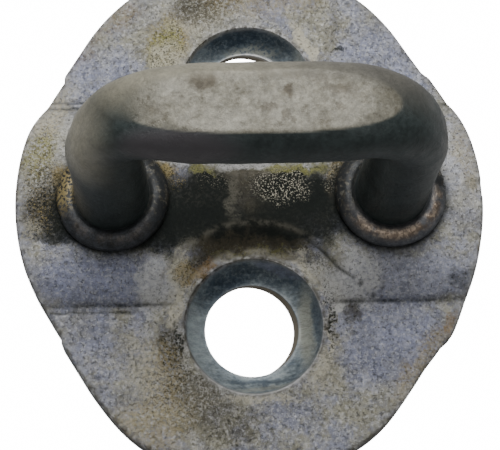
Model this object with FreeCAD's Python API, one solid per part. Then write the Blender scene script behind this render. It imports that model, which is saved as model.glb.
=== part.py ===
"""Latch striker: a pressed steel plate with a raised band and two dished screw holes, and a
staked U-shaped loop that stands on two seat collars.

Frame: millimetres. The origin is the centre of the mounting plane on the plate's back. +Z points
out of the plate towards the loop, +X runs along the loop's crossbar, +Y from screw hole to screw
hole.
"""

import FreeCAD
import Part
import math
import os

V = FreeCAD.Vector

# ---- plate blank ----
SHEET = 4.5                # thickness of the steel sheet
SIDE_RADIUS = 30.3         # round sides of the blank, centred on the origin
END_RADIUS = 24.8          # rounded ends of the blank
END_CENTRE_Y = 10.6        # centre of a rounded end
TRIM_MISMATCH = 0.5        # the ends are trimmed by a second stroke, this far towards -X
TRIM_STEP_AT = 2.2         # along the flank, where the small step between the two strokes starts
TRIM_STEP_LENGTH = 1.0     # along the flank, length of that step
EDGE_ROLL = 0.5            # rolled edge that the blanking die leaves on the front face

# ---- raised band that carries the loop ----
BAND_LIFT = 2.5            # how far the band is pressed up from the sheet
BAND_FLAT_HALF = 6.9       # half width of the band's flat top, along Y
BAND_FOOT_HALF = 13.7      # half width of the band at its foot
CREASE_RADIUS = 0.8        # inside corner between the band's foot and the sheet
RECESS_FOOT_HALF = 12.0    # half width of the matching recess in the back, at the mounting plane
RECESS_FLAT_HALF = 8.6     # half width of the recess at its ceiling

# ---- screw holes ----
HOLE_PITCH = 33.0          # from screw hole to screw hole, along Y
HOLE_RADIUS = 6.1
HOLE_SHIFT = 0.5           # both bores were punched this far to -X of their dishes
THROUGH = 2.0              # how far a cutter runs past a face that it opens
DISH_RADIUS = 8.9          # mouth of the dished countersink
DISH_FLOOR_RADIUS = 6.7
DISH_DEPTH = 3.0
DISH_BELLY_RADIUS = 8.0    # the dish is bowl-shaped: its wall passes this radius ...
DISH_BELLY_DEPTH = 1.85    # ... at this depth
DISH_LIP = 0.4             # rounding of the dish's mouth
SEAT_RADIUS = 10.0         # flat ring round the dish, at sheet level
NOTCH_RADIUS = 12.7        # top of the notch's steep wall, where its bevelled lip starts
NOTCH_LIP_DROP = 0.45      # height of the bevelled lip
NOTCH_LIP_RUN = 1.0        # width of the bevelled lip
PAD_RADIUS = 12.2          # solid pad left round the hole in the back

# ---- locating mark pressed into the +X edge of the band ----
MARK_LENGTH = 1.6
MARK_WIDTH = 2.0
MARK_DEPTH = 0.35
MARK_Y = 0.9

# ---- loop ----
LEG_RADIUS = 4.6
LEG_SPACING = 36.0         # leg centre to leg centre, along X
CROSSBAR_RISE = 29.0       # band top to the crossbar's centreline
BEND_RADIUS = 7.6          # of the bar's centreline
CROSSBAR_HALF_WIDTH = 5.2  # along Y: the bar spreads where its top is pressed flat
CROSSBAR_HALF_HEIGHT = 4.6
FLAT_HALF_WIDTH = 3.37     # of the flat pressed on top of the crossbar
SHANK_RADIUS = 4.0
HEAD_RADIUS = 5.8          # staked head behind the plate
HEAD_HEIGHT = 1.7
HEAD_ROUND = 0.7

# ---- seat collars ----
COLLAR_RADIUS = 7.3
COLLAR_HEIGHT = 2.2
COLLAR_SIDE_HEIGHT = 0.9   # height of the upright side, above which the top slopes in
COLLAR_LAND_RADIUS = 5.2   # flat land under the leg's shoulder
COLLAR_FOOT_CHAMFER = 0.25
COLLAR_DOME_SWELL = 0.35   # how far the top bulges out of the straight slope, in radius and in height

# ---- picking edges ----
NEAR = 1e-3                # tolerance when an edge is picked by its place
RIM_FROM = 0.8             # an edge past this share of the side radius lies on the rim

HOLE_Y = HOLE_PITCH / 2
LEG_X = LEG_SPACING / 2
BAND_TOP = SHEET + BAND_LIFT
COLLAR_TOP = BAND_TOP + COLLAR_HEIGHT
CROSSBAR_Z = BAND_TOP + CROSSBAR_RISE
FLAT_RISE = CROSSBAR_HALF_HEIGHT * math.sqrt(1 - (FLAT_HALF_WIDTH / CROSSBAR_HALF_WIDTH) ** 2)
FLAT_Z = CROSSBAR_Z + FLAT_RISE
BEND_START_Z = CROSSBAR_Z - BEND_RADIUS
BLANK_HALF_LENGTH = END_CENTRE_Y + END_RADIUS


def solid_from_outline(edges, vector):
    """Extrudes a closed planar outline, given as edges in order."""
    return Part.Face(Part.Wire(edges)).extrude(vector)


def closed_polygon(points):
    """Edges of the closed polygon through points."""
    return [Part.makeLine(a, b) for a, b in zip(points, points[1:] + points[:1])]


def revolve_profile(points, axis_point):
    """Turns a closed (radius, z) polygon round the vertical line through axis_point."""
    corners = [V(axis_point.x + r, axis_point.y, z) for r, z in points]
    return revolve_edges(closed_polygon(corners), axis_point)


def revolve_edges(edges, axis_point):
    """Turns a closed outline in the XZ plane of axis_point round the vertical line through it."""
    return Part.Face(Part.Wire(edges)).revolve(axis_point, V(0, 0, 1), 360)


def blank_outline():
    """Edges of the blank's outline: round sides, straight flanks tangent to them, round ends."""
    # A common tangent of a side circle and an end circle has its normal at this slope to the X axis.
    tangent_sin = (SIDE_RADIUS - END_RADIUS) / END_CENTRE_Y
    tangent_cos = math.sqrt(1 - tangent_sin ** 2)
    end = V(END_RADIUS * tangent_cos, END_CENTRE_Y + END_RADIUS * tangent_sin, 0)
    start = V(SIDE_RADIUS * tangent_cos, SIDE_RADIUS * tangent_sin, 0)
    along = V(-tangent_sin, tangent_cos, 0)
    step_start = start + along * TRIM_STEP_AT
    step_end = step_start + along * TRIM_STEP_LENGTH

    def turned(point, x_sign, y_sign, trim=0.0):
        return V(x_sign * point.x - trim, y_sign * point.y, 0)

    edges = []
    for sign in (1, -1):
        flank_out = [
            turned(start, sign, sign),
            turned(step_start, sign, sign),
            turned(step_end, sign, sign, TRIM_MISMATCH),
            turned(end, sign, sign, TRIM_MISMATCH),
        ]
        flank_back = [
            turned(end, -sign, sign, TRIM_MISMATCH),
            turned(step_end, -sign, sign, TRIM_MISMATCH),
            turned(step_start, -sign, sign),
            turned(start, -sign, sign),
        ]
        tip = V(-TRIM_MISMATCH, sign * BLANK_HALF_LENGTH, 0)
        side = V(sign * SIDE_RADIUS, 0, 0)
        edges.append(Part.Arc(turned(start, sign, -sign), side, flank_out[0]).toShape())
        edges += [Part.makeLine(a, b) for a, b in zip(flank_out, flank_out[1:])]
        edges.append(Part.Arc(flank_out[-1], tip, flank_back[0]).toShape())
        edges += [Part.makeLine(a, b) for a, b in zip(flank_back, flank_back[1:])]
    return edges


def band_prism(z_low, z_high, flat_half, foot_half):
    """A band along X whose two shoulders are arcs that leave the flat top level and end at the foot."""
    run = foot_half - flat_half
    drop = z_high - z_low
    radius = (run ** 2 + drop ** 2) / (2 * drop)
    half_angle = math.asin(run / radius) / 2
    mid_y = flat_half + radius * math.sin(half_angle)
    mid_z = z_high - radius * (1 - math.cos(half_angle))
    x = -2 * SIDE_RADIUS
    foot_right = V(x, foot_half, z_low)
    foot_left = V(x, -foot_half, z_low)
    top_right = V(x, flat_half, z_high)
    top_left = V(x, -flat_half, z_high)
    edges = [
        Part.Arc(foot_right, V(x, mid_y, mid_z), top_right).toShape(),
        Part.makeLine(top_right, top_left),
        Part.Arc(top_left, V(x, -mid_y, mid_z), foot_left).toShape(),
        Part.makeLine(foot_left, foot_right),
    ]
    return solid_from_outline(edges, V(4 * SIDE_RADIUS, 0, 0))


def hole_axes():
    return [V(0, HOLE_Y, 0), V(0, -HOLE_Y, 0)]


def leg_axes():
    return [V(-LEG_X, 0, 0), V(LEG_X, 0, 0)]


def pressed_sheet():
    """The blank with its raised band, before any hole: flat sheet, curved shoulders, rolled rim."""
    slab_side = 4 * SIDE_RADIUS
    slab = Part.makeBox(slab_side, slab_side, SHEET, V(-slab_side / 2, -slab_side / 2, 0))
    form = slab.fuse(band_prism(SHEET, BAND_TOP, BAND_FLAT_HALF, BAND_FOOT_HALF)).removeSplitter()
    form = form.makeFillet(CREASE_RADIUS, [e for e in form.Edges if in_crease(e)])
    sheet = solid_from_outline(blank_outline(), V(0, 0, 2 * BAND_TOP)).common(form)
    return sheet.makeFillet(EDGE_ROLL, [e for e in sheet.Edges if on_front_rim(e)])


def in_crease(edge):
    """True for the two straight inside corners at the band's foot."""
    middle = edge.CenterOfMass
    return abs(abs(middle.y) - BAND_FOOT_HALF) < NEAR and abs(middle.z - SHEET) < NEAR


def on_front_rim(edge):
    """True if the edge runs round the front of the blank, so that all of it is far from the middle."""
    first, last = edge.ParameterRange
    points = [edge.valueAt(first + part * (last - first)) for part in (0, 0.5, 1)]
    far_out = all(math.hypot(p.x, p.y) > RIM_FROM * SIDE_RADIUS for p in points)
    return far_out and edge.BoundBox.ZMin > SHEET - NEAR


def dish_tool(axis):
    """The cutter for one dish: a bowl with a flat floor, open above."""
    def at(radius, z):
        return V(axis.x + radius, axis.y, z)

    floor = SHEET - DISH_DEPTH
    start = at(DISH_FLOOR_RADIUS, floor)
    belly = at(DISH_BELLY_RADIUS, SHEET - DISH_BELLY_DEPTH)
    mouth = at(DISH_RADIUS, SHEET)
    corners = [mouth, at(DISH_RADIUS, SHEET + THROUGH), at(0, SHEET + THROUGH), at(0, floor), start]
    edges = [Part.makeLine(a, b) for a, b in zip(corners, corners[1:])]
    return revolve_edges([Part.Arc(start, belly, mouth).toShape()] + edges, axis)


def bore_tool(axis):
    """The cutter for one bore, which lies off its dish's centre."""
    return Part.makeCylinder(HOLE_RADIUS, SHEET + THROUGH, axis - V(HOLE_SHIFT, 0, THROUGH))


def notch_tool(axis):
    """The cutter for the round notch that clears a screw head in the band's shoulder."""
    lip_z = BAND_TOP - NOTCH_LIP_DROP
    above = BAND_TOP + NOTCH_LIP_DROP
    profile = [
        (0, SHEET),
        (SEAT_RADIUS, SHEET),
        (NOTCH_RADIUS, lip_z),
        (NOTCH_RADIUS + 2 * NOTCH_LIP_RUN, above),
        (0, above),
    ]
    return revolve_profile(profile, axis)


def recess_tool():
    """The cutter for the recess behind the band, which leaves a solid pad round each screw hole."""
    recess = band_prism(0, BAND_LIFT, RECESS_FLAT_HALF, RECESS_FOOT_HALF)
    for axis in hole_axes():
        pad = Part.makeCylinder(PAD_RADIUS, BAND_LIFT + 2 * THROUGH, axis - V(0, 0, THROUGH))
        recess = recess.cut(pad)
    return recess


def mark_tool():
    """The cutter for the shallow locating mark at the +X edge."""
    corner = V(SIDE_RADIUS - MARK_LENGTH, MARK_Y - MARK_WIDTH / 2, BAND_TOP - MARK_DEPTH)
    return Part.makeBox(2 * MARK_LENGTH, MARK_WIDTH, 2 * MARK_DEPTH, corner)


def on_dish_mouth(edge, axis):
    """True for the circle in which a dish meets the front of the sheet."""
    end = edge.valueAt(edge.FirstParameter)
    radius = math.hypot(end.x - axis.x, end.y - axis.y)
    return abs(radius - DISH_RADIUS) < NEAR and edge.BoundBox.ZMin > SHEET - NEAR


def striker_plate():
    """The pressed plate: sheet, raised band, notches, dished holes, back recess and edge mark."""
    plate = pressed_sheet()
    for axis in hole_axes():
        plate = plate.cut(notch_tool(axis))
    plate = plate.cut(recess_tool())
    for axis in hole_axes():
        plate = plate.cut(dish_tool(axis))
        plate = plate.makeFillet(DISH_LIP, [e for e in plate.Edges if on_dish_mouth(e, axis)])
        plate = plate.cut(bore_tool(axis))
    for axis in leg_axes():
        plate = plate.cut(Part.makeCylinder(SHANK_RADIUS, BAND_TOP + 2 * THROUGH, axis - V(0, 0, THROUGH)))
    return plate.cut(mark_tool()).removeSplitter()


def bar_section(centre, normal, half_width, half_height):
    """The bar's round or oval section, in the plane through centre square to normal; width is along Y."""
    if half_width == half_height:
        curve = Part.Circle(centre, normal, half_width)
        curve.XAxis = V(0, 1, 0)
    else:
        across = normal.cross(V(0, 1, 0))
        curve = Part.Ellipse(centre + V(0, half_width, 0), centre + across * half_height, centre)
    return Part.Wire(curve.toShape())


def bend(side):
    """A corner of the loop: a quarter turn in which the round leg spreads into the crossbar."""
    centre = V(side * (LEG_X - BEND_RADIUS), 0, BEND_START_Z)
    start = centre + V(side * BEND_RADIUS, 0, 0)
    end = centre + V(0, 0, BEND_RADIUS)
    middle = centre + V(side, 0, 1).normalize() * BEND_RADIUS
    pipe = Part.BRepOffsetAPI.MakePipeShell(Part.Wire(Part.Arc(start, middle, end).toShape()))
    pipe.setFrenetMode(True)
    pipe.add(bar_section(start, V(0, 0, 1), LEG_RADIUS, LEG_RADIUS))
    pipe.add(bar_section(end, V(-side, 0, 0), CROSSBAR_HALF_WIDTH, CROSSBAR_HALF_HEIGHT))
    pipe.build()
    pipe.makeSolid()
    return Part.Solid(pipe.shape())


def crossbar():
    """The straight top of the loop, an oval bar between the two bends."""
    half = LEG_X - BEND_RADIUS
    start = V(-half, 0, CROSSBAR_Z)
    section = bar_section(start, V(1, 0, 0), CROSSBAR_HALF_WIDTH, CROSSBAR_HALF_HEIGHT)
    return Part.Face(section).extrude(V(2 * half, 0, 0))


def leg(axis):
    """The straight round leg, from its shoulder on the collar up to the bend."""
    section = bar_section(axis + V(0, 0, BEND_START_Z), V(0, 0, 1), LEG_RADIUS, LEG_RADIUS)
    return Part.Face(section).extrude(V(0, 0, COLLAR_TOP - BEND_START_Z))


def staked_head(axis):
    """The head that staking forms on a shank, inside the plate's recess."""
    top = BAND_LIFT
    low = top - HEAD_HEIGHT
    inner = HEAD_RADIUS - HEAD_ROUND
    profile = [
        (0, low),
        (inner, low),
        (HEAD_RADIUS, low + HEAD_ROUND),
        (HEAD_RADIUS, top),
        (0, top),
    ]
    return revolve_profile(profile, axis)


def striker_loop():
    """The loop: legs, bends and crossbar with its pressed flat, then shanks and staked heads."""
    pieces = [bend(-1), bend(1), crossbar()]
    for axis in leg_axes():
        pieces.append(leg(axis))
        shank_length = COLLAR_TOP - BAND_LIFT
        pieces.append(Part.makeCylinder(SHANK_RADIUS, shank_length, axis + V(0, 0, BAND_LIFT)))
        pieces.append(staked_head(axis))
    loop = pieces[0].fuse(pieces[1:])
    press = Part.makeBox(4 * LEG_X, 4 * LEG_X, 4 * LEG_RADIUS, V(-2 * LEG_X, -2 * LEG_X, FLAT_Z))
    return loop.cut(press)


def seat_collar(axis):
    """A round collar on the band, under a leg's shoulder: upright side, domed top, flat land."""
    def at(radius, z):
        return V(axis.x + radius, axis.y, z)

    side_top = BAND_TOP + COLLAR_SIDE_HEIGHT
    dome_radius = (COLLAR_RADIUS + COLLAR_LAND_RADIUS) / 2 + COLLAR_DOME_SWELL
    dome_z = (side_top + COLLAR_TOP) / 2 + COLLAR_DOME_SWELL
    corners = [
        at(COLLAR_LAND_RADIUS, COLLAR_TOP),
        at(SHANK_RADIUS, COLLAR_TOP),
        at(SHANK_RADIUS, BAND_TOP),
        at(COLLAR_RADIUS - COLLAR_FOOT_CHAMFER, BAND_TOP),
        at(COLLAR_RADIUS, BAND_TOP + COLLAR_FOOT_CHAMFER),
        at(COLLAR_RADIUS, side_top),
    ]
    edges = [Part.makeLine(a, b) for a, b in zip(corners, corners[1:])]
    dome = Part.Arc(corners[-1], at(dome_radius, dome_z), corners[0])
    return revolve_edges(edges + [dome.toShape()], axis)


def main():
    os.makedirs("parts", exist_ok=True)
    left_axis, right_axis = leg_axes()
    parts = {
        "striker_plate": striker_plate(),
        "striker_loop": striker_loop(),
        "left_seat_collar": seat_collar(left_axis),
        "right_seat_collar": seat_collar(right_axis),
    }
    for name, shape in parts.items():
        solids = shape.Solids
        box = shape.BoundBox
        print(name, "solids", len(solids), "valid", shape.isValid(), "volume", round(shape.Volume, 1),
              "x", round(box.XMin, 2), round(box.XMax, 2), "y", round(box.YMin, 2), round(box.YMax, 2),
              "z", round(box.ZMin, 2), round(box.ZMax, 2))
        Part.Compound(solids).exportStep(os.path.join("parts", name + ".step"))


main()
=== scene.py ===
"""Door latch striker: a pressed zinc-plated plate, the bent loop staked through it, two seat collars."""

import math

import bmesh
import bpy
import numpy as np
from mathutils import Matrix, Vector


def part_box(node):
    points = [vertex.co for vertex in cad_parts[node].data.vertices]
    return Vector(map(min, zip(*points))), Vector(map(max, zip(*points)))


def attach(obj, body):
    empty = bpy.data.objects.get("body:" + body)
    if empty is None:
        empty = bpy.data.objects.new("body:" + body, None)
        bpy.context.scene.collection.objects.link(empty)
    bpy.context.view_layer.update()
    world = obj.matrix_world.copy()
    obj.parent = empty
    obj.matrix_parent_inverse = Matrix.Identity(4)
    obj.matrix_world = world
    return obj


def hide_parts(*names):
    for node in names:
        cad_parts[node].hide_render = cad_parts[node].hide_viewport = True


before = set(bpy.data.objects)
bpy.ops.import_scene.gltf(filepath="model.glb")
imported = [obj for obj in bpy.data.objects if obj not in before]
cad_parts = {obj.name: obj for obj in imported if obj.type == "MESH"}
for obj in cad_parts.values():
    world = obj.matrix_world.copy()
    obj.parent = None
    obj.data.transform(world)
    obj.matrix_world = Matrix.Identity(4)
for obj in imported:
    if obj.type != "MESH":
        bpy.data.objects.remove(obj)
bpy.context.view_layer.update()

bl_info = {
    "name": "Door Latch Striker",
    "version": (1, 0, 0),
    "blender": (4, 5, 0),
    "location": "View3D > Sidebar > Striker",
    "description": "Builds the pieces, finishes and stage of a door latch striker",
    "category": "Add Mesh",
}

MM = 0.001
PER_MM = 1000.0
PLATE_LOW, PLATE_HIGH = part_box("striker_plate")
LOOP_LOW, LOOP_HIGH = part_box("striker_loop")
COLLAR_LOW, COLLAR_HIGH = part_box("right_seat_collar")
COLLAR_CENTRE_X = (COLLAR_LOW.x + COLLAR_HIGH.x) / 2
MERGE = 1.5e-6              # points nearer than this are one
SHARP_ANGLE = math.radians(38)
BORE_CHAMFER = 0.12 * MM     # height of the break at a bore's back edge
LIP_WIDTH = 1.0 * MM         # of the notch's bevelled lip
MOUTH_SLOPE = 2.2            # of the dish's surface, carried on past its mouth
ROUNDINGS = 3                # times that a collar's corners are cut
PALE = 16.0                  # glow of the floor and the room, as the camera sees them


# ---------------------------------------------------------------- settings

def length(label, about, metres):
    return bpy.props.FloatProperty(name=label, description=about, default=metres, unit="LENGTH", precision=5)


def paint(label, about, colour):
    return bpy.props.FloatVectorProperty(name=label, description=about, default=colour, size=3,
                                         subtype="COLOR", min=0, max=1)


def share(label, about, value):
    return bpy.props.FloatProperty(name=label, description=about, default=value, min=0, max=1, subtype="FACTOR")


class PlateSizes(bpy.types.PropertyGroup):
    """Sizes of the pressed plate."""
    sheet: length("Sheet", "Thickness of the sheet", 4.5 * MM)
    side_radius: length("Side radius", "Radius of the blank's round sides", PLATE_HIGH.x)
    end_radius: length("End radius", "Radius of the blank's round ends", 24.8 * MM)
    end_centre: length("End centre", "Distance of an end's centre from the middle", PLATE_HIGH.y - 24.8 * MM)
    trim_step_at: length("Trim step place", "Along the flank, where the trim step starts", 2.2 * MM)
    trim_step: length("Trim step length", "Length of the trim step along the flank", 1.0 * MM)
    trim_shift: length("Trim shift", "How far the trimmed ends lie towards -X", 0.5 * MM)
    left_swell: length("Left swell", "How far the -X side stands out", 0.4 * MM)
    end_swell: length("End swell", "How far the lower end stands out", 0.5 * MM)
    flank_swell: length("Flank swell", "How far the lower +X flank bulges at its trim step", 0.95 * MM)
    rim_roll: length("Rim roll", "Radius rolled on the front rim by the blanking die", 0.5 * MM)
    band_top: length("Band top", "Height of the raised band's flat top", PLATE_HIGH.z)
    band_flat: length("Band flat", "Half width of the band's flat top", 6.9 * MM)
    band_foot: length("Band foot", "Half width of the band at its foot", 13.7 * MM)
    recess_depth: length("Recess depth", "Depth of the recess behind the band", 2.5 * MM)
    recess_flat: length("Recess flat", "Half width of the recess ceiling", 8.6 * MM)
    recess_foot: length("Recess foot", "Half width of the recess at the back", 12.0 * MM)
    pad_radius: length("Pad radius", "Solid pad round each screw hole at the back", 12.2 * MM)
    hole_place: length("Hole place", "Distance of a screw hole from the middle", 16.5 * MM)
    hole_radius: length("Hole radius", "Radius of a screw hole", 6.1 * MM)
    hole_shift: length("Hole shift", "How far a bore starts off its dish's centre, towards -X", 0.25 * MM)
    hole_lean: length("Hole lean", "How much further a bore leans towards -X at the back", 0.6 * MM)
    dish_radius: length("Dish radius", "Radius of a dish's mouth", 8.9 * MM)
    dish_belly: length("Dish belly radius", "Radius of the dish at its belly", 8.0 * MM)
    dish_belly_depth: length("Dish belly depth", "Depth of the dish's belly", 1.85 * MM)
    dish_depth: length("Dish depth", "Depth of the dish's floor", 3.0 * MM)
    notch_foot: length("Notch foot", "Radius where the notch's steep wall starts", 10.0 * MM)
    notch_radius: length("Notch radius", "Radius at the top of the notch's steep wall", 12.7 * MM)
    notch_lip: length("Notch lip", "Height of the notch's bevelled lip", 0.45 * MM)
    mark_depth: length("Mark depth", "Depth of the locating mark on the +X edge", 0.35 * MM)


class LoopSizes(bpy.types.PropertyGroup):
    """Sizes of the bent bar."""
    leg_radius: length("Leg radius", "Radius of the round legs", 4.6 * MM)
    leg_place: length("Leg place", "Distance of a leg from the middle", COLLAR_CENTRE_X)
    bend_radius: length("Bend radius", "Radius of the bar's centreline in a bend", 7.6 * MM)
    bar_half_width: length("Bar half width", "Half width of the crossbar", LOOP_HIGH.y)
    flat_half_width: length("Flat half width", "Half width of the pressed flat", 3.5 * MM)
    flat_level: length("Flat level", "Height of the pressed flat", LOOP_HIGH.z)
    shank_radius: length("Shank radius", "Radius of the shanks in the plate", 4.0 * MM)
    foot_flare: length("Foot flare", "How much a leg widens at its foot", 0.2 * MM)
    left_slump: length("Left slump", "How far the outside of the left bend is drawn in", 1.5 * MM)
    right_slump: length("Right slump", "How far the outside of the right bend is drawn in", 0.95 * MM)
    head_radius: length("Head radius", "Radius of the staked heads", 5.8 * MM)
    head_low: length("Head face", "Height of a staked head's face", LOOP_LOW.z)
    head_top: length("Head top", "Height at which a head meets the plate", 2.5 * MM)


class CollarSizes(bpy.types.PropertyGroup):
    """Sizes of the seat collars."""
    radius: length("Radius", "Outer radius of a collar", (COLLAR_HIGH.x - COLLAR_LOW.x) / 2)
    bore: length("Bore", "Radius of a collar's bore", 4.0 * MM)
    dome_radius: length("Dome radius", "Radius of the dome's crest", 5.9 * MM)
    foot: length("Foot", "Height of the collar's foot", COLLAR_LOW.z)
    top: length("Top", "Height of the dome's crest", COLLAR_HIGH.z)


class Finishes(bpy.types.PropertyGroup):
    """Colours of the finishes and stains, some also laid as painted shade, highlights and reflections."""
    zinc_blue: paint("Blue zinc", "Zinc plating with a lilac-blue tarnish", (0.235, 0.245, 0.305))
    zinc_warm: paint("Warm zinc", "Zinc plating with a warm grey tarnish", (0.26, 0.25, 0.195))
    # Light zinc is also laid as painted highlights on the lower dish's lip and the bores' edges.
    zinc_light: paint("Light flecks", "Pale flecks and worn edges of the plating", (0.50, 0.50, 0.49))
    zinc_dark: paint("Dark flecks", "Dark flecks in the plating", (0.075, 0.075, 0.075))
    side_dark: paint("Cut side", "Dark cut side of the blank", (0.05, 0.048, 0.045))
    lilac: paint("Lilac", "Lilac-blue tarnish on the band's slopes", (0.225, 0.24, 0.325))
    deposit: paint("Deposit", "Pale mineral deposit", (0.50, 0.47, 0.37))
    # Stone is also laid as a painted highlight along the notch's lip.
    stone: paint("Stone", "Thin grey-brown dirt", (0.15, 0.14, 0.11))
    ochre: paint("Ochre", "Yellow-brown corrosion", (0.33, 0.26, 0.11))
    moss: paint("Moss", "Yellow-green growth", (0.22, 0.215, 0.065))
    rust: paint("Rust", "Rust stain", (0.20, 0.125, 0.05))
    # Grime is also painted shade under the crossbar, in the creases and round the collars; soil on the notch's wall.
    grime: paint("Grime", "Black grime", (0.007, 0.0095, 0.008))
    soil: paint("Soil", "Brown dirt", (0.05, 0.043, 0.028))
    # In the dishes, blue-black is mostly painted shade on the walls facing -Y; teal and olive are mostly painted
    # reflections.
    ink_stain_and_shade: paint("Blue-black", "Blue-black staining in the dishes", (0.026, 0.042, 0.06))
    teal_dark: paint("Dark teal", "Darker clean metal in the dishes", (0.11, 0.14, 0.17))
    teal_light: paint("Light teal", "Lighter clean metal in the dishes", (0.33, 0.375, 0.385))
    olive_light: paint("Light olive", "Pale olive metal in the dishes", (0.36, 0.37, 0.315))
    bore_wall: paint("Bore wall", "Brown-grey wall of the screw holes", (0.23, 0.20, 0.15))
    bare_steel: paint("Bare steel", "Rubbed steel on the crossbar", (0.24, 0.23, 0.188))
    bar_worn: paint("Worn steel", "Half-rubbed steel on the crossbar", (0.145, 0.135, 0.10))
    bar_stain: paint("Bar stain", "Brown stain on the crossbar", (0.07, 0.057, 0.035))
    bar_film: paint("Bar film", "Olive-brown film on the bar's left", (0.25, 0.235, 0.178))
    # The film's darker right, and the dark and black steel of the front, underside and legs, are partly painted
    # shade.
    bar_film_dark_and_shade: paint("Dark bar film", "Olive-brown film on the bar's right", (0.10, 0.095, 0.08))
    bar_mauve: paint("Mauve steel", "Mauve-grey steel under the flat's left", (0.072, 0.064, 0.070))
    bar_dark_and_shade: paint("Dark steel", "Dark, greasy steel", (0.034, 0.046, 0.045))
    bar_black_and_shade: paint("Black steel", "Blackened steel", (0.015, 0.022, 0.021))
    collar_grey: paint("Collar grey", "Grey steel of the collars", (0.06, 0.067, 0.078))
    collar_light: paint("Collar light", "Lighter steel of the rubbed collar", (0.15, 0.155, 0.165))
    collar_dark: paint("Collar dark", "Dark steel of the collars", (0.016, 0.018, 0.019))
    # The copper on a rubbed crest is partly a painted sheen.
    copper_dark: paint("Dark copper", "Coppery brown on a rubbed collar", (0.26, 0.20, 0.15))
    copper_and_sheen: paint("Copper", "Coppery tint on a rubbed collar", (0.55, 0.44, 0.33))


class StageSettings(bpy.types.PropertyGroup):
    """Camera, light and floor."""
    camera_tilt: bpy.props.FloatProperty(name="Camera tilt", description="Angle from the plate's axis towards -Y",
                                         default=math.radians(17.62), subtype="ANGLE")
    camera_side: bpy.props.FloatProperty(name="Camera side", description="Angle from the plate's axis towards +X",
                                         default=math.radians(-2.19), subtype="ANGLE")
    camera_roll: bpy.props.FloatProperty(name="Camera roll", description="Turn of the camera about its own axis",
                                         default=math.radians(-1.615), subtype="ANGLE")
    distance: length("Distance", "From the camera to the point it looks at", 197.45 * MM)
    lens: bpy.props.FloatProperty(name="Lens", description="Focal length in millimetres", default=105.92)
    aim: bpy.props.FloatVectorProperty(name="Aim", description="Point on the mounting plane that the camera looks at",
                                       default=(-0.07 * MM, -1.59 * MM, 0), size=3, subtype="TRANSLATION")
    floor_drop: length("Floor drop", "Gap between the plate's back and the floor", 0.2 * MM)
    key_power: bpy.props.FloatProperty(name="Key power", description="Power of the large overhead light in watts",
                                       default=2.6)
    fill_power: bpy.props.FloatProperty(name="Fill power", description="Power of the fill light in watts",
                                        default=0.45)
    room: share("Room light", "Strength of the even light from all round", 0.15)


def settings():
    return bpy.context.scene.striker


class StrikerSettings(bpy.types.PropertyGroup):
    """Everything that a user can change."""
    plate: bpy.props.PointerProperty(type=PlateSizes)
    loop: bpy.props.PointerProperty(type=LoopSizes)
    collar: bpy.props.PointerProperty(type=CollarSizes)
    finish: bpy.props.PointerProperty(type=Finishes)
    stage: bpy.props.PointerProperty(type=StageSettings)


# ---------------------------------------------------------------- surface tools

def lower_of(a, b, blend):
    """The lower of two heights, rounded over where they cross: (a + b - sqrt((a - b)^2 + blend^2)) / 2."""
    return (a + b - np.sqrt((a - b) ** 2 + blend ** 2)) / 2


def upper_of(a, b, blend):
    """The upper of two heights, rounded over where they cross: (a + b + sqrt((a - b)^2 + blend^2)) / 2."""
    return (a + b + np.sqrt((a - b) ** 2 + blend ** 2)) / 2


def ramp(x, start, end):
    """0 before start, 1 after end, and 3t^2 - 2t^3 between them."""
    t = np.clip((x - start) / (end - start), 0, 1)
    return t * t * (3 - 2 * t)


def bell(away, reach):
    """A bell about 0: exp(-(away / reach)^2)."""
    return np.exp(-(away / reach) ** 2)


def waves(x, y, count, reach, seed):
    """A smooth, uneven field of about -1 to 1: sine waves of random directions, pitches and phases, added up and
    divided by the square root of their number."""
    dice = np.random.default_rng(seed)
    turn = dice.uniform(0, 2 * math.pi, count)
    phase = dice.uniform(0, 2 * math.pi, count)
    pitch = reach * dice.uniform(0.6, 1.7, count)
    along = np.asarray(x)[..., None] * np.cos(turn) + np.asarray(y)[..., None] * np.sin(turn)
    return np.sin(2 * math.pi * along / pitch + phase).sum(-1) / math.sqrt(count)


def steps(*runs):
    """Joins even runs, each (start, end, count), into one rising list without repeats."""
    return np.unique(np.concatenate([np.linspace(*run) for run in runs]).round(9))


def sheet_of(points, closed=False, flip=False, ring=False):
    """A grid of points, rows by columns, as vertices and quads, turned over if flip is true.

    closed joins the last column to the first, and ring joins the last row to the first."""
    rows, columns = points.shape[:2]
    index = np.arange(rows * columns).reshape(rows, columns)
    if closed:
        index = np.concatenate([index, index[:, :1]], 1)
    if ring:
        index = np.concatenate([index, index[:1]])
    quads = np.stack([index[:-1, :-1], index[:-1, 1:], index[1:, 1:], index[1:, :-1]], -1).reshape(-1, 4)
    return points.reshape(-1, 3), quads[:, ::-1] if flip else quads


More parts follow.
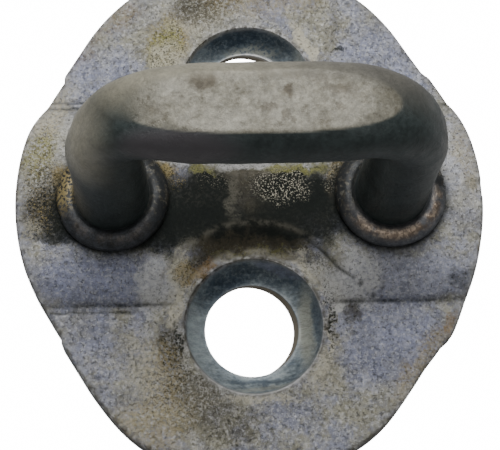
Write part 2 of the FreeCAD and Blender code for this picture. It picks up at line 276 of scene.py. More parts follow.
def piece_from(name, sheets):
    """One closed mesh object from several sheets, with the seams between them and their poles merged."""
    mesh = bpy.data.meshes.new(name)
    offsets = np.cumsum([0] + [len(points) for points, _ in sheets[:-1]])
    points = np.concatenate([points for points, _ in sheets])
    quads = np.concatenate([quads + offset for (_, quads), offset in zip(sheets, offsets)])
    mesh.vertices.add(len(points))
    mesh.vertices.foreach_set("co", points.astype(np.float32).ravel())
    mesh.loops.add(4 * len(quads))
    mesh.loops.foreach_set("vertex_index", quads.astype(np.int32).ravel())
    mesh.polygons.add(len(quads))
    mesh.polygons.foreach_set("loop_start", 4 * np.arange(len(quads), dtype=np.int32))
    mesh.update(calc_edges=True)
    work = bmesh.new()
    work.from_mesh(mesh)
    bmesh.ops.remove_doubles(work, verts=work.verts, dist=MERGE)
    work.to_mesh(mesh)
    work.free()
    mesh.shade_smooth()
    mesh.set_sharp_from_angle(angle=SHARP_ANGLE)
    piece = bpy.data.objects.new(name, mesh)
    bpy.context.scene.collection.objects.link(piece)
    return piece


def places_of(piece):
    """The piece's vertices as an array of points."""
    flat = np.zeros(len(piece.data.vertices) * 3, np.float32)
    piece.data.vertices.foreach_get("co", flat)
    return flat.reshape(-1, 3).astype(float)


def add_masks(piece, **masks):
    """Stores one number from 0 to 1 per vertex for each mask, which the finishes read by its name."""
    for name, values in masks.items():
        mask = piece.data.attributes.new(name, "FLOAT", "POINT")
        mask.data.foreach_set("value", np.clip(values, 0, 1).astype(np.float32))


# ---------------------------------------------------------------- plate

def half_outline(s, count):
    """Half of the blank's outline, from the +X side over the +Y end to the -X side, at even spacing.

    A side arc about the middle, a straight flank that touches it and the end arc, the end arc about the end centre,
    and the same mirrored in X. Everything past the small step in a flank is moved by the trim shift."""
    lean = math.asin((s.side_radius - s.end_radius) / s.end_centre)
    side = np.linspace(0, lean, 60)
    end = np.linspace(lean, math.pi - lean, 300)
    touch = s.side_radius * np.array([math.cos(lean), math.sin(lean)])
    along = np.array([-math.sin(lean), math.cos(lean)])
    before = np.stack([touch, touch + along * s.trim_step_at])
    after = (touch + along * (s.trim_step_at + s.trim_step))[None]
    mirror = np.array([-1, 1])
    moved = np.array([-s.trim_shift, 0])
    side_arc = s.side_radius * np.stack([np.cos(side), np.sin(side)], 1)
    end_arc = s.end_radius * np.stack([np.cos(end), np.sin(end)], 1) + [0, s.end_centre] + moved
    path = np.concatenate([side_arc, before, after + moved, end_arc, after * mirror + moved,
                           (before * mirror)[::-1], (side_arc * mirror)[::-1]])
    run = np.concatenate([[0], np.cumsum(np.hypot(*np.diff(path, axis=0).T))])
    keep = np.concatenate([[True], np.diff(run) > 0])
    even = np.linspace(0, run[-1], count)
    return np.stack([np.interp(even, run[keep], path[keep, axis]) for axis in (0, 1)], 1)


def edge_swell(x, across, lower, s):
    """How far the trimmed edge stands out past the even outline, where across is the distance from the X axis.

    The -X side stands out evenly near the axis; the lower +X flank bulges round its trim step; the lower end is
    a little longer."""
    left = s.left_swell * (x < 0) * (1 - ramp(across, 9 * MM, 15 * MM))
    bulge = 0.25 + 0.75 * bell(across - 18 * MM, 3.5 * MM)
    right = s.flank_swell * (x > 0) * bulge * ramp(across, 6 * MM, 13 * MM)
    right = right * (1 - ramp(across, 28 * MM, 34.5 * MM))
    end = s.end_swell * ramp(across, 25 * MM, 32 * MM)
    return left + (right + end) * lower


def outward(path):
    """Unit normals of a half outline, across the chord between each point's neighbours. Past its ends, the
    neighbours are mirrored in the X axis."""
    mirror = np.array([1, -1])
    longer = np.concatenate([path[1:2] * mirror, path, path[-2:-1] * mirror])
    chord = longer[2:] - longer[:-2]
    return np.stack([chord[:, 1], -chord[:, 0]], 1) / np.hypot(*chord.T)[:, None]


def shoulder(y, flat, foot, low, high):
    """A raised band's height across it: level out to flat, then an arc that leaves it evenly and ends at
    (foot, low)."""
    run, drop = foot - flat, high - low
    radius = (run ** 2 + drop ** 2) / (2 * drop)
    beyond = np.clip(y - flat, 0, 0.999 * radius)
    return high - radius + np.sqrt(radius ** 2 - beyond ** 2)


def dish_height(rho, s):
    """The dish's height at a distance from its centre: the circle through its floor's edge, belly and mouth, level
    inside the floor's edge and rising steeply past the mouth."""
    x1, z1 = s.hole_radius + 0.2 * MM, s.sheet - s.dish_depth
    x2, z2 = s.dish_belly, s.sheet - s.dish_belly_depth
    x3, z3 = s.dish_radius, s.sheet
    turn = 2 * (x1 * (z2 - z3) + x2 * (z3 - z1) + x3 * (z1 - z2))
    q1, q2, q3 = x1 ** 2 + z1 ** 2, x2 ** 2 + z2 ** 2, x3 ** 2 + z3 ** 2
    cx = (q1 * (z2 - z3) + q2 * (z3 - z1) + q3 * (z1 - z2)) / turn
    cz = (q1 * (x3 - x2) + q2 * (x1 - x3) + q3 * (x2 - x1)) / turn
    radius = math.hypot(x1 - cx, z1 - cz)
    lowest = cz - np.sqrt(np.maximum(radius ** 2 - np.clip(rho - cx, 0, radius) ** 2, 0))
    past = s.sheet + (rho - s.dish_radius) * MOUTH_SLOPE
    return np.where(rho > s.dish_radius, past, np.maximum(lowest, z1))


def lip_line(x, y, s):
    """Radius of the notch's scored lip about the hole: a circle that flares out where it runs into the crease."""
    angle = np.arctan2(s.hole_place - np.abs(y), x)
    return s.notch_radius + 0.1 * MM + 3.6 * MM * (1 - ramp(angle, 0.08, 0.62))


# Dents and raised spots in the front: centre (x, y), reach along x and y, and depth, in millimetres.
DENTS = (
    ((12.4, 21.7), (1.0, 0.28), 0.10),
    ((11.6, 21.3), (0.3, 0.6), 0.08),
    ((12.9, -14.6), (1.1, 1.0), 0.09),
    ((8.3, -9.9), (1.0, 0.9), -0.07),
    ((-9.6, -16.4), (0.5, 0.9), 0.10),
    ((27.5, -1.0), (2.2, 3.0), 0.06),
    ((-27.6, -3.2), (1.8, 1.5), 0.08),
    ((25.2, -17.0), (0.9, 1.2), 0.22),
    ((-24.2, -19.9), (0.6, 0.8), 0.15),
    ((6.5, -27.5), (2.5, 1.6), 0.05),
    ((-14.5, 27.0), (1.8, 1.2), 0.06),
    ((-4.6, -24.2), (0.5, 0.35), 0.09),
)


def front_height(x, y, rho, s):
    """Height of the plate's front: the sheet and the band, cut by the notch and the dish, with small dents."""
    across = np.abs(y)
    band = shoulder(across, s.band_flat, s.band_foot, s.sheet, s.band_top)
    height = upper_of(band, np.full_like(band, s.sheet), 0.12 * MM)
    lip_foot = s.band_top - s.notch_lip
    wall = s.sheet + (rho - s.notch_foot) * (lip_foot - s.sheet) / (s.notch_radius - s.notch_foot)
    lip = lip_foot + (rho - s.notch_radius) * s.notch_lip / LIP_WIDTH
    notch = upper_of(lower_of(wall, lip, 0.08 * MM), np.full_like(wall, s.sheet), 0.1 * MM)
    height = lower_of(height, notch, 0.1 * MM)
    uneven = waves(x, y, 9, 11 * MM, 3) * 0.035 * MM + waves(x, y, 12, 3.5 * MM, 5) * 0.014 * MM
    height = height + uneven - 0.06 * MM
    groove = bell(across - s.band_foot - 0.75 * MM, 0.2 * MM) * ramp(np.abs(x), 13 * MM, 16 * MM)
    score = bell(rho - lip_line(x, y, s), 0.2 * MM) * ramp(x, 2 * MM, 5 * MM) * (across < s.band_foot)
    height = height - 0.07 * MM * groove * (x < 0) - 0.12 * MM * score
    mark = ramp(x, s.side_radius - 1.75 * MM, s.side_radius - 1.45 * MM)
    mark = mark * (1 - ramp(np.abs(y - 0.9 * MM), 0.85 * MM, 1.15 * MM))
    height = height - s.mark_depth * mark
    for centre, size, depth in DENTS:
        height = height - depth * MM * bell(x / MM - centre[0], size[0]) * bell(y / MM - centre[1], size[1])
    return lower_of(height, dish_height(rho, s), 0.12 * MM)


def back_height(y, rho, s):
    """Height of the plate's back: a recess behind the band, with a solid pad left round each screw hole."""
    ceiling = shoulder(np.abs(y), s.recess_flat, s.recess_foot, 0, s.recess_depth)
    ceiling = upper_of(ceiling, np.zeros_like(ceiling), 0.1 * MM) * (np.abs(y) < s.recess_foot + 1.5 * MM)
    return np.maximum(ceiling * ramp(rho, s.pad_radius, s.pad_radius + 0.3 * MM), 0)


def polar_grid(edge, rings, outer_rings, s):
    """Rings round a screw hole, round near it and then drawn out in straight lines to edge, as x, y and radius.

    A near ring is the circle of its radius about the hole's centre, which lies off to -X for the bore. A point
    of an outer ring is C + t (B - C), with C on the last circle and B the point of edge in the same direction."""
    centre = np.array([0, s.hole_place])
    heading = np.arctan2(edge[:, 1] - centre[1], edge[:, 0] - centre[0])
    ray = np.stack([np.cos(heading), np.sin(heading)], -1)
    off_centre = -s.hole_shift * (1 - ramp(rings, s.hole_radius, s.notch_radius))
    near = centre + rings[:, None, None] * ray[None] + np.stack([off_centre, 0 * off_centre], -1)[:, None]
    t = outer_rings[:, None, None]
    far = near[-1] + t * (edge - near[-1])
    rho = np.concatenate([np.repeat(rings[:, None], len(edge), 1), np.hypot(*(far - centre).transpose(2, 0, 1))])
    both = np.concatenate([near, far])
    return both[..., 0], both[..., 1], rho


def plate_sheets(s):
    """The plate as sheets: for each half a front and a back of rings round its hole and the bore between them, and
    one wall round the outline whose top is rolled over by a quarter circle."""
    even = half_outline(s, 301)
    upper, lower = (even + outward(even) * edge_swell(*even.T, is_lower, s)[:, None] for is_lower in (0, 1))
    line = np.linspace(-1, 1, 173)[1:-1, None] * np.array([[s.side_radius - s.rim_roll, 0]])
    hole, mouth, last = s.hole_radius, s.dish_radius, s.notch_radius + 1.2 * MM
    front_rings = steps((hole, hole + 0.2 * MM, 3), (hole + 0.2 * MM, mouth - 0.5 * MM, 12),
                        (mouth - 0.5 * MM, mouth + 0.6 * MM, 11), (mouth + 0.6 * MM, last, 20))
    back_rings = steps((hole, hole + 0.15 * MM, 2), (hole + 0.15 * MM, s.pad_radius, 3),
                       (s.pad_radius, s.pad_radius + 0.3 * MM, 4), (s.pad_radius + 0.3 * MM, last, 3))
    sheets = []
    for sign, outline in ((1, upper), (-1, lower)):
        front_edge = np.concatenate([outline - outward(outline) * s.rim_roll, line])
        back_edge = np.concatenate([outline, line * s.side_radius / (s.side_radius - s.rim_roll)])
        x, y, rho = polar_grid(front_edge, front_rings, np.linspace(0, 1, 25)[1:], s)
        back_x, back_y, back_rho = polar_grid(back_edge, back_rings, np.linspace(0, 1, 19)[1:], s)
        top = np.stack([x, sign * y, front_height(x, sign * y, rho, s)], -1)
        under = np.stack([back_x, sign * back_y, back_height(back_y, back_rho, s)], -1)
        under[0, :, 2] = BORE_CHAMFER
        under[0, :, 0] -= s.hole_lean
        share_down = np.linspace(0, 1, 6)[:, None, None]
        bore = top[0] + share_down * (under[0] - top[0])
        sheets += [sheet_of(top, True, sign > 0), sheet_of(under, True, sign < 0), sheet_of(bore, True, sign < 0)]
    whole = np.concatenate([upper, (lower * [1, -1])[::-1][1:-1]])
    whole_normal = np.concatenate([outward(upper), (outward(lower) * [1, -1])[::-1][1:-1]])
    inset = whole - whole_normal * s.rim_roll
    inset_rho, whole_rho = (np.hypot(path[:, 0], np.abs(path[:, 1]) - s.hole_place) for path in (inset, whole))
    crest = front_height(inset[:, 0], inset[:, 1], inset_rho, s)
    foot = back_height(whole[:, 1], whole_rho, s)
    roll = np.linspace(0, math.pi / 2, 6)
    rolled = inset + whole_normal * (s.rim_roll * np.sin(roll))[:, None, None]
    rolled_z = crest - (s.rim_roll * (1 - np.cos(roll)))[:, None]
    down = np.linspace(0, 1, 7)[1:, None]
    skirt = np.concatenate([rolled, np.broadcast_to(whole, (len(down), *whole.shape))])
    skirt_z = np.concatenate([rolled_z, rolled_z[-1] + (foot - rolled_z[-1]) * down])
    sheets.append(sheet_of(np.concatenate([skirt, skirt_z[..., None]], -1), True, True))
    return sheets


def plate_masks(piece, s):
    """Masks for wear, dirt and painted light: worn edges of the rim and mouths, painted highlights on the bores'
    edges and the lower dish's lip, the creases (dirt and painted shade), the notch's lip, its arch (a painted
    highlight), its foot and its steep wall (painted shade), the dishes, the bores' walls, a painted shadow round the
    collars' seats and the blank's cut side."""
    x, y, z = places_of(piece).T
    rho = np.hypot(x, np.abs(y) - s.hole_place)
    outline = half_outline(s, 600)
    heading = np.arctan2(outline[:, 1], outline[:, 0])
    order = np.argsort(heading)
    reach = np.interp(np.arctan2(np.abs(y), x), heading[order], np.hypot(*outline.T)[order])
    inside = reach + edge_swell(x, np.abs(y), y < 0, s) - np.hypot(x, y)
    on_band = np.abs(y) < s.band_foot
    front = ramp(z, 3.0 * MM, 4.0 * MM)
    rim = np.exp(-np.maximum(inside, 0) / (0.55 * MM)) * front
    mouth = bell(rho - s.dish_radius - 0.15 * MM, 0.28 * MM) * front
    # Painted highlights: the lower lip of the lower dish, and the bores' front edges, stronger towards -X and +Y.
    mouth_lip = bell(rho - s.dish_radius - 0.05 * MM, 0.16 * MM) * ramp(-y, s.hole_place + 3 * MM, 24 * MM)
    bore_edge = bell(rho - s.hole_radius, 0.18 * MM) * (z > 1.0 * MM)
    bore_edge = bore_edge * (0.25 + 0.75 * ramp(-x + 0.4 * y, 0, 6 * MM))
    # The crease mask marks dirt in the band's creases and painted shade in them.
    beyond = np.abs(y) - s.band_foot
    second = bell(beyond - 0.75 * MM, 0.16 * MM) * ramp(-x, 13 * MM, 17 * MM)
    crease = np.maximum(bell(beyond + 0.1 * MM, 0.28 * MM), second) * front * ramp(np.abs(x), 9.5 * MM, 12 * MM)
    # The arch is a painted highlight along the top of the notch's lip.
    arch = bell(rho - s.notch_radius - 0.5 * MM, 0.35 * MM) * (1 - ramp(x, 5 * MM, 9 * MM))
    # The slope mask covers the notch's steep wall, which faces -Y; it carries painted shade.
    slope = ramp(rho, s.notch_foot - 0.4 * MM, s.notch_foot + 0.3 * MM) * on_band
    slope = slope * (1 - ramp(rho, s.notch_radius, s.notch_radius + 1.2 * MM))
    slope = slope * (1 - ramp(np.abs(x), 4.5 * MM, 9 * MM))
    # The seat mask is a painted shadow: a dark ring on the plate round each collar's foot.
    collar = np.minimum(np.hypot(x - COLLAR_CENTRE_X, y), np.hypot(x + COLLAR_CENTRE_X, y))
    add_masks(
        piece, rim=rim + 0.9 * mouth, mouth_lip=mouth_lip, bore_edge=bore_edge, crease=crease, slope=slope,
        bore=(rho < s.hole_radius + 1.2 * MM) * (1 - ramp(z, 1.3 * MM, 1.5 * MM)),
        notch_arch=arch * (np.abs(y) < s.hole_place - 5 * MM),
        notch_edge=bell(rho - lip_line(x, y, s), 0.2 * MM) * on_band * ramp(x, 1 * MM, 6 * MM),
        notch_foot=bell(rho - s.notch_foot, 0.35 * MM) * (np.abs(y) < s.band_foot - 1 * MM),
        dish=1 - ramp(rho, s.dish_radius - 0.25 * MM, s.dish_radius + 0.05 * MM),
        seat=np.exp(-np.maximum(collar - (COLLAR_HIGH.x - COLLAR_LOW.x) / 2, 0) / (0.6 * MM)) * front,
        side=1 - ramp(z, 2.6 * MM, 4.2 * MM))


# ---------------------------------------------------------------- loop

def loop_sheet(s):
    """The bent bar: an oval ring of points carried along the bar's centreline, from one head's face to the other's.

    A ring's point is centre + normal b sin(u) + Y a cos(u). On a leg the rings follow the leg's meridian, with head,
    shank and flared foot; in a bend the centre turns a quarter circle while a grows; the top is then cut to the
    flat's level with a rounded edge."""
    u = np.linspace(0, 2 * math.pi, 137)[:-1]
    wall = (s.bar_half_width - s.leg_radius)
    rise = s.leg_radius * math.sqrt(1 - (s.flat_half_width / s.bar_half_width) ** 2)
    axis_z = s.flat_level - rise
    bend_z = axis_z - s.bend_radius
    corner = np.linspace(0, math.pi / 2, 6)
    face = np.linspace(0, s.head_radius - 0.7 * MM, 9)
    face_z = s.head_low + 0.22 * MM * bell(face - 2.4 * MM, 0.9 * MM)
    edge_r = s.head_radius - 0.7 * MM + 0.7 * MM * np.sin(corner)
    edge_z = s.head_low + 0.7 * MM * (1 - np.cos(corner))
    foot_z = COLLAR_HIGH.z - 0.25 * MM
    leg_z = steps((foot_z, foot_z + 2 * MM, 14), (foot_z + 2 * MM, bend_z, 40))
    leg_r = s.leg_radius + s.foot_flare * np.exp(-(leg_z - foot_z) / (0.55 * MM))
    radius = np.concatenate([face, edge_r, [s.head_radius], np.full(5, s.shank_radius), leg_r])
    shank_z = np.linspace(s.head_top, foot_z, 5)[1:]
    height = np.concatenate([face_z, edge_z, [s.head_top, s.head_top], shank_z, leg_z])
    turn = np.linspace(0, math.pi / 2, 62)[1:]
    bar = np.linspace(-1, 1, 120)[1:-1] * (s.leg_place - s.bend_radius)

    def rings(cx, cz, nx, nz, a, b):
        return np.stack(np.broadcast_arrays(cx, cz, nx, nz, a, b), -1)

    left_leg = rings(-s.leg_place + 0 * height, height, -1.0, 0.0, radius, radius)
    spread = ramp(turn, 0, math.pi / 2)
    left_bend = rings(-s.leg_place + s.bend_radius * (1 - np.cos(turn)), bend_z + s.bend_radius * np.sin(turn),
                      -np.cos(turn), np.sin(turn), s.leg_radius + wall * spread, s.leg_radius)
    crossbar = rings(bar, axis_z, 0.0, 1.0, s.bar_half_width, s.leg_radius)
    half = np.concatenate([left_leg, left_bend])
    other = half[::-1] * [-1, 1, -1, 1, 1, 1]
    cx, cz, nx, nz, a, b = (column[:, None] for column in np.concatenate([half, crossbar, other]).T)
    slump = np.where(cx < 0, s.left_slump, s.right_slump) * ramp(cz, bend_z - 3 * MM, bend_z + 4 * MM)
    slump = slump * ramp(np.abs(cx), s.leg_place - s.bend_radius - 4.5 * MM, s.leg_place - 0.55 * s.bend_radius)
    a = a - 0.45 * slump
    b = b - slump * np.clip(np.sin(u), 0, 1) ** 2
    x = cx + nx * b * np.sin(u)
    y = a * np.cos(u) + 0.15 * MM * ramp(cz, bend_z, axis_z)
    z = cz + nz * b * np.sin(u)
    along = np.linspace(0, 1, len(cx))[:, None]
    rough = waves(along * 0.12 + 0 * u, 0.03 * np.cos(u) + 0 * along, 9, 9 * MM, 11) * 0.03 * MM
    rough = rough * ramp(z, s.head_top + 7 * MM, s.head_top + 9 * MM)
    x = x + rough * nx * np.sin(u)
    y = y + rough * np.cos(u)
    worn = s.flat_level - 0.05 * MM + 0.04 * MM * waves(x, y, 8, 9 * MM, 17) * ramp(z, 38 * MM, 39 * MM)
    z = lower_of(z, np.minimum(worn, s.flat_level), 0.05 * MM)
    return sheet_of(np.stack([x, y, z], -1), True, True)


def loop_masks(piece, s):
    """Wear masks: the rubbed oval on the pressed flat, and the film on the bar's top, rear and outer sides. What
    neither covers, the bar's front, underside and legs, gets the dark steel that is partly painted shade.
    """
    x, y, z = places_of(piece).T
    oval = (np.abs(x - 0.2 * MM) / (15.4 * MM)) ** 3 + (np.abs(y - 0.1 * MM) / (3.75 * MM)) ** 2
    sharp = 1 - ramp(oval, 0.93, 1.05)
    soft = 1 - ramp(oval, 0.35, 1.25)
    blurred = np.maximum(ramp(y, 0.5 * MM, 3 * MM), ramp(-x, 12 * MM, 14.5 * MM) * ramp(y, -2.2 * MM, -1.0 * MM))
    high = ramp(z, s.flat_level - 3.2 * MM, s.flat_level - 1.6 * MM)
    rear = ramp(y, -2.0 * MM, 3.6 * MM) * ramp(z, s.flat_level - 9 * MM, s.flat_level - 1 * MM)
    outer_left = ramp(-x, 15.5 * MM, 21.5 * MM) * ramp(z, 22 * MM, 31 * MM)
    outer_right = ramp(x, 20.5 * MM, 22.5 * MM) * ramp(z, 20 * MM, 31 * MM) * 0.6
    add_masks(piece, rubbed=(sharp * (1 - blurred) + soft * blurred) * high,
              film=np.maximum(np.maximum(rear, outer_left), outer_right))


# ---------------------------------------------------------------- collars

def collar_sheet(s, side, nick):
    """One collar: a closed profile of (radius, height) turned round the leg's axis, a little uneven all round.

    The profile runs up the bore, past a low land next to the leg, over a round dome, down the side and back under.
    Its corners are rounded by cutting each off at a quarter of both its sides, ROUNDINGS times. nick is (angle,
    depth) of a small notch in the outer edge."""
    r, top, foot = s.radius, s.top, s.foot
    corners = np.array([
        (s.bore, foot), (s.bore, top - 0.2 * MM), (4.7 * MM, top - 0.22 * MM), (5.0 * MM, top - 0.12 * MM),
        (s.dome_radius - 0.6 * MM, top), (s.dome_radius, top), (s.dome_radius + 0.5 * MM, top - 0.22 * MM),
        (6.95 * MM, top - 0.62 * MM), (r - 0.05 * MM, top - 1.1 * MM), (r, top - 1.4 * MM),
        (r, foot + 0.45 * MM), (r - 0.25 * MM, foot + 0.15 * MM), (r - 0.32 * MM, foot),
    ])
    profile = corners
    for _ in range(ROUNDINGS):
        following = np.roll(profile, -1, 0)
        profile = np.stack([0.75 * profile + 0.25 * following, 0.25 * profile + 0.75 * following], 1).reshape(-1, 2)
    turn = np.linspace(0, 2 * math.pi, 181)[None, :-1]
    radius, height = profile[:, :1] + 0 * turn, profile[:, 1:] + 0 * turn
    outer = ramp(radius, 5.0 * MM, 6.6 * MM) * ramp(height, foot + 0.1 * MM, foot + 0.5 * MM)
    uneven = waves(np.cos(turn) * 6, np.sin(turn) * 6 + 9 * side, 7, 5.0, 23) * 0.035 * MM
    gap = np.angle(np.exp(1j * (turn - nick[0])))
    chip = nick[1] * bell(gap, 0.07) * ramp(radius, 5.6 * MM, 6.9 * MM)
    radius = radius + outer * (uneven - 0.04 * MM) - chip
    height = height - outer * np.abs(uneven) * 0.8 - 0.6 * chip * ramp(height, foot + 0.5 * MM, top)
    x = side * COLLAR_CENTRE_X + radius * np.cos(turn)
    return sheet_of(np.stack([x, radius * np.sin(turn), height], -1), True, True, True)


def collar_masks(piece, s, side):
    """Masks: the dome's crest, worn and partly a painted sheen, the groove next to the leg, and the dark low side, a
    painted undercut shadow.
    """
    x, y, z = places_of(piece).T
    rho = np.hypot(x - side * COLLAR_CENTRE_X, y)
    add_masks(piece, crest=bell(rho - s.dome_radius - 0.2 * MM, 0.7 * MM) * ramp(z, 8.2 * MM, 9 * MM),
              groove=1 - ramp(rho, 4.9 * MM, 5.5 * MM), low=1 - ramp(z, s.foot + 0.3 * MM, s.foot + 1.2 * MM))


# ---------------------------------------------------------------- node tools

class Net:
    """Adds nodes to one node tree. An input that is given as a socket is linked, and any other value is set."""

    def __init__(self, tree):
        self.tree = tree

    def add(self, kind, inputs=None, **options):
        made = self.tree.nodes.new("ShaderNode" + kind)
        for name, value in options.items():
            setattr(made, name, value)
        for name, value in (inputs or {}).items():
            self.put(made.inputs[name], value)
        return made

    def put(self, socket, value):
        if isinstance(value, bpy.types.NodeSocket):
            self.tree.links.new(value, socket)
        else:
            socket.default_value = value

    def math(self, operation, a, b, clamp=False):
        return self.add("Math", {0: a, 1: b}, operation=operation, use_clamp=clamp).outputs[0]

    def times(self, a, b, clamp=False):
        return self.math("MULTIPLY", a, b, clamp)

    def vector(self, operation, a, b=None):
        inputs = {0: a} if b is None else {0: a, 1: b}
        made = self.add("VectorMath", inputs, operation=operation)
        return made.outputs["Value" if operation == "LENGTH" else "Vector"]

    def scaled(self, a, factor):
        return self.add("VectorMath", {0: a, "Scale": factor}, operation="SCALE").outputs[0]

    def mix(self, amount, a, b):
        return self.add("Mix", {0: amount, 6: solid(a), 7: solid(b)}, data_type="RGBA").outputs[2]

    def lay(self, colour, mask, strength, paint):
        """Paint over a colour, where mask times strength is its cover."""
        return self.mix(self.times(mask, strength), colour, paint)

    def blend(self, amount, a, b):
        return self.add("Mix", {0: amount, 2: a, 3: b}, data_type="FLOAT").outputs[0]

    def span(self, value, low, high, out_low=0.0, out_high=1.0):
        ends = {0: value, 1: low, 2: high, 3: out_low, 4: out_high}
        return self.add("MapRange", ends, interpolation_type="SMOOTHSTEP").outputs[0]

    def noise(self, place, scale, detail=3.0, roughness=0.55):
        inputs = {"Vector": place, "Scale": scale, "Detail": detail, "Roughness": roughness}
        return self.add("TexNoise", inputs).outputs["Fac"]

    def mask(self, name):
        return self.add("Attribute", attribute_name=name).outputs["Fac"]

    def use(self, group, **inputs):
        return self.add("Group", inputs, node_tree=group).outputs[0]


def solid(colour):
    """A colour with full alpha, unless it is a socket already."""
    return colour if isinstance(colour, bpy.types.NodeSocket) else (*colour[:3], 1.0)


def group_of(name, output, inputs, build):
    """A shared node group with named inputs, each a default number or vector, and one number out; built once.

    Every group has a Place, which is linked wherever the group is used."""
    if name in bpy.data.node_groups:
        return bpy.data.node_groups[name]
    tree = bpy.data.node_groups.new(name, "ShaderNodeTree")
    for label, default in {"Place": (0, 0, 0), **inputs}.items():
        kind = "NodeSocketVector" if isinstance(default, tuple) else "NodeSocketFloat"
        tree.interface.new_socket(label, in_out="INPUT", socket_type=kind).default_value = default
    tree.interface.new_socket(output, in_out="OUTPUT", socket_type="NodeSocketFloat")
    given = tree.nodes.new("NodeGroupInput").outputs
    result = tree.nodes.new("NodeGroupOutput").inputs[0]
    tree.links.new(build(Net(tree), given), result)
    return tree


def ragged(net, place, coarse, fine):
    """A place shifted by coarse and fine noise, so that a patch drawn there gets a ragged outline."""
    for scale, detail, reach in ((0.45, 1.0, coarse), (2.1, 2.0, fine)):
        noise = net.add("TexNoise", {"Vector": place, "Scale": scale, "Detail": detail}).outputs["Color"]
        centred = net.vector("SUBTRACT", noise, (0.5, 0.5, 0.5))
        place = net.vector("ADD", place, net.scaled(centred, reach))
    return place


def stain_patch(net, place, centre, reach, turn=0.0):
    """A soft oval mask about centre with half sizes reach, turned by turn about Z; places are in millimetres."""
    def build(net, given):
        local = net.vector("SUBTRACT", given["Place"], given["Centre"])
        turned = net.add("VectorRotate", {"Vector": local, "Angle": given["Turn"]}, rotation_type="Z_AXIS")
        away = net.vector("LENGTH", net.vector("DIVIDE", turned.outputs[0], given["Reach"]))
        return net.span(away, 1.25, 0.55)
    group = group_of("stain patch", "Mask", {"Centre": (0, 0, 0), "Reach": (1, 1, 1), "Turn": 0.0}, build)
    return net.use(group, Place=place, Centre=centre, Reach=reach, Turn=turn)


def speckles(net, place, scale, cover, softness=0.06):
    """Small, uneven specks: noise of the given scale, kept where it is above a level that falls as cover grows."""
    def build(net, given):
        grain = net.noise(given["Place"], given["Scale"], 4.0, 0.62)
        low = net.math("SUBTRACT", 0.72, net.times(given["Cover"], 0.44))
        return net.span(grain, low, net.math("ADD", low, given["Softness"]))
    group = group_of("speckles", "Mask", {"Scale": 2.0, "Cover": 0.5, "Softness": 0.06}, build)
    return net.use(group, Place=place, Scale=scale, Cover=cover, Softness=softness)


def mottle(net, place, scale, low=0.0, high=1.0):
    """A mottled value from low to high: broad and fine noise, about half and half."""
    def build(net, given):
        broad = net.noise(given["Place"], given["Scale"], 4.0, 0.6)
        fine = net.noise(given["Place"], net.times(given["Scale"], 5.3), 3.0, 0.65)
        both = net.math("ADD", net.times(broad, 0.55), net.times(fine, 0.45))
        return net.span(both, 0.36, 0.64, given["Low"], given["High"])
    group = group_of("mottle", "Value", {"Scale": 0.5, "Low": 0.0, "High": 1.0}, build)
    return net.use(group, Place=place, Scale=scale, Low=low, High=high)


def edge_wear_and_highlight(net, mask, place, scale):
    """A named edge mask that is broken up by noise, as wear is along an edge; it also breaks up the painted highlight
    along the notch's lip and the partly painted sheen on a collar's crest.
    """
    def build(net, given):
        broken = net.noise(given["Place"], given["Scale"], 3.0, 0.6)
        return net.times(given["Edge"], net.span(broken, 0.36, 0.58), clamp=True)
    group = group_of("worn edge", "Mask", {"Edge": 0.0, "Scale": 0.8}, build)
    return net.use(group, Edge=net.mask(mask), Place=place, Scale=scale)


def millimetres(net):
    """The place on the object in millimetres."""
    where = net.add("TexCoord").outputs["Object"]
    return net.add("Mapping", {"Vector": where, "Scale": (PER_MM,) * 3}).outputs[0]


def finish_of(name):
    """A new material, its net and its Principled shader."""
    material = bpy.data.materials.new(name)
    material.use_nodes = True
    return material, Net(material.node_tree), material.node_tree.nodes["Principled BSDF"]


def dress(net, shader, colour, metallic, roughness, relief, strength, depth):
    """Feeds a finish's colour, metallic, roughness and relief, a bump of this strength and depth, to its shader."""
    bump = net.add("Bump", {"Strength": strength, "Distance": depth, "Height": relief}).outputs[0]
    inputs = {"Base Color": colour, "Metallic": metallic, "Roughness": roughness, "Normal": bump}
    for name, value in inputs.items():
        net.put(shader.inputs[name], value)


# ---------------------------------------------------------------- finishes

# Broad tarnish on the plate, in the same order of values as the stains below.
PLATE_HUES = (
    ("lilac", (-20.0, -10.5), (9.5, 3.4), 0, 0.95, 0.0),
    ("lilac", (19.5, -10.8), (9.5, 3.4), 0, 0.95, 0.0),
    ("lilac", (18.0, -18.5), (6.5, 7.0), 0, 0.8, 0.2),
    ("lilac", (-21.0, -17.0), (3.6, 4.6), 20, 0.5, 0.3),
    ("lilac", (-20.0, 17.5), (6.5, 5.0), 0, 0.7, 0.3),
    ("lilac", (19.0, 18.0), (6.0, 9.0), 0, 0.8, 0.3),
    ("zinc_warm", (-9.0, -24.0), (9.0, 8.0), 0, 0.8, 0.2),
    ("zinc_warm", (-27.0, 8.0), (5.0, 10.0), 0, 0.9, 0.2),
    ("zinc_warm", (-8.0, 25.0), (9.0, 8.0), 0, 0.8, 0.2),
    ("zinc_light", (26.0, 3.0), (5.0, 9.0), 0, 0.4, 0.3),
    ("zinc_light", (-26.5, 9.0), (5.0, 8.0), 0, 0.4, 0.3),
    ("zinc_dark", (0, -28.0), (9.0, 4.0), 0, 0.2, 0.5),
    ("zinc_light", (-13.0, -11.5), (2.2, 4.0), 0, 0.5, 0.5),
    ("zinc_light", (13.6, -11.0), (2.6, 3.6), 0, 0.5, 0.5),
    ("zinc_light", (20.0, -10.5), (8.0, 3.0), 0, 0.22, 0.0),
)

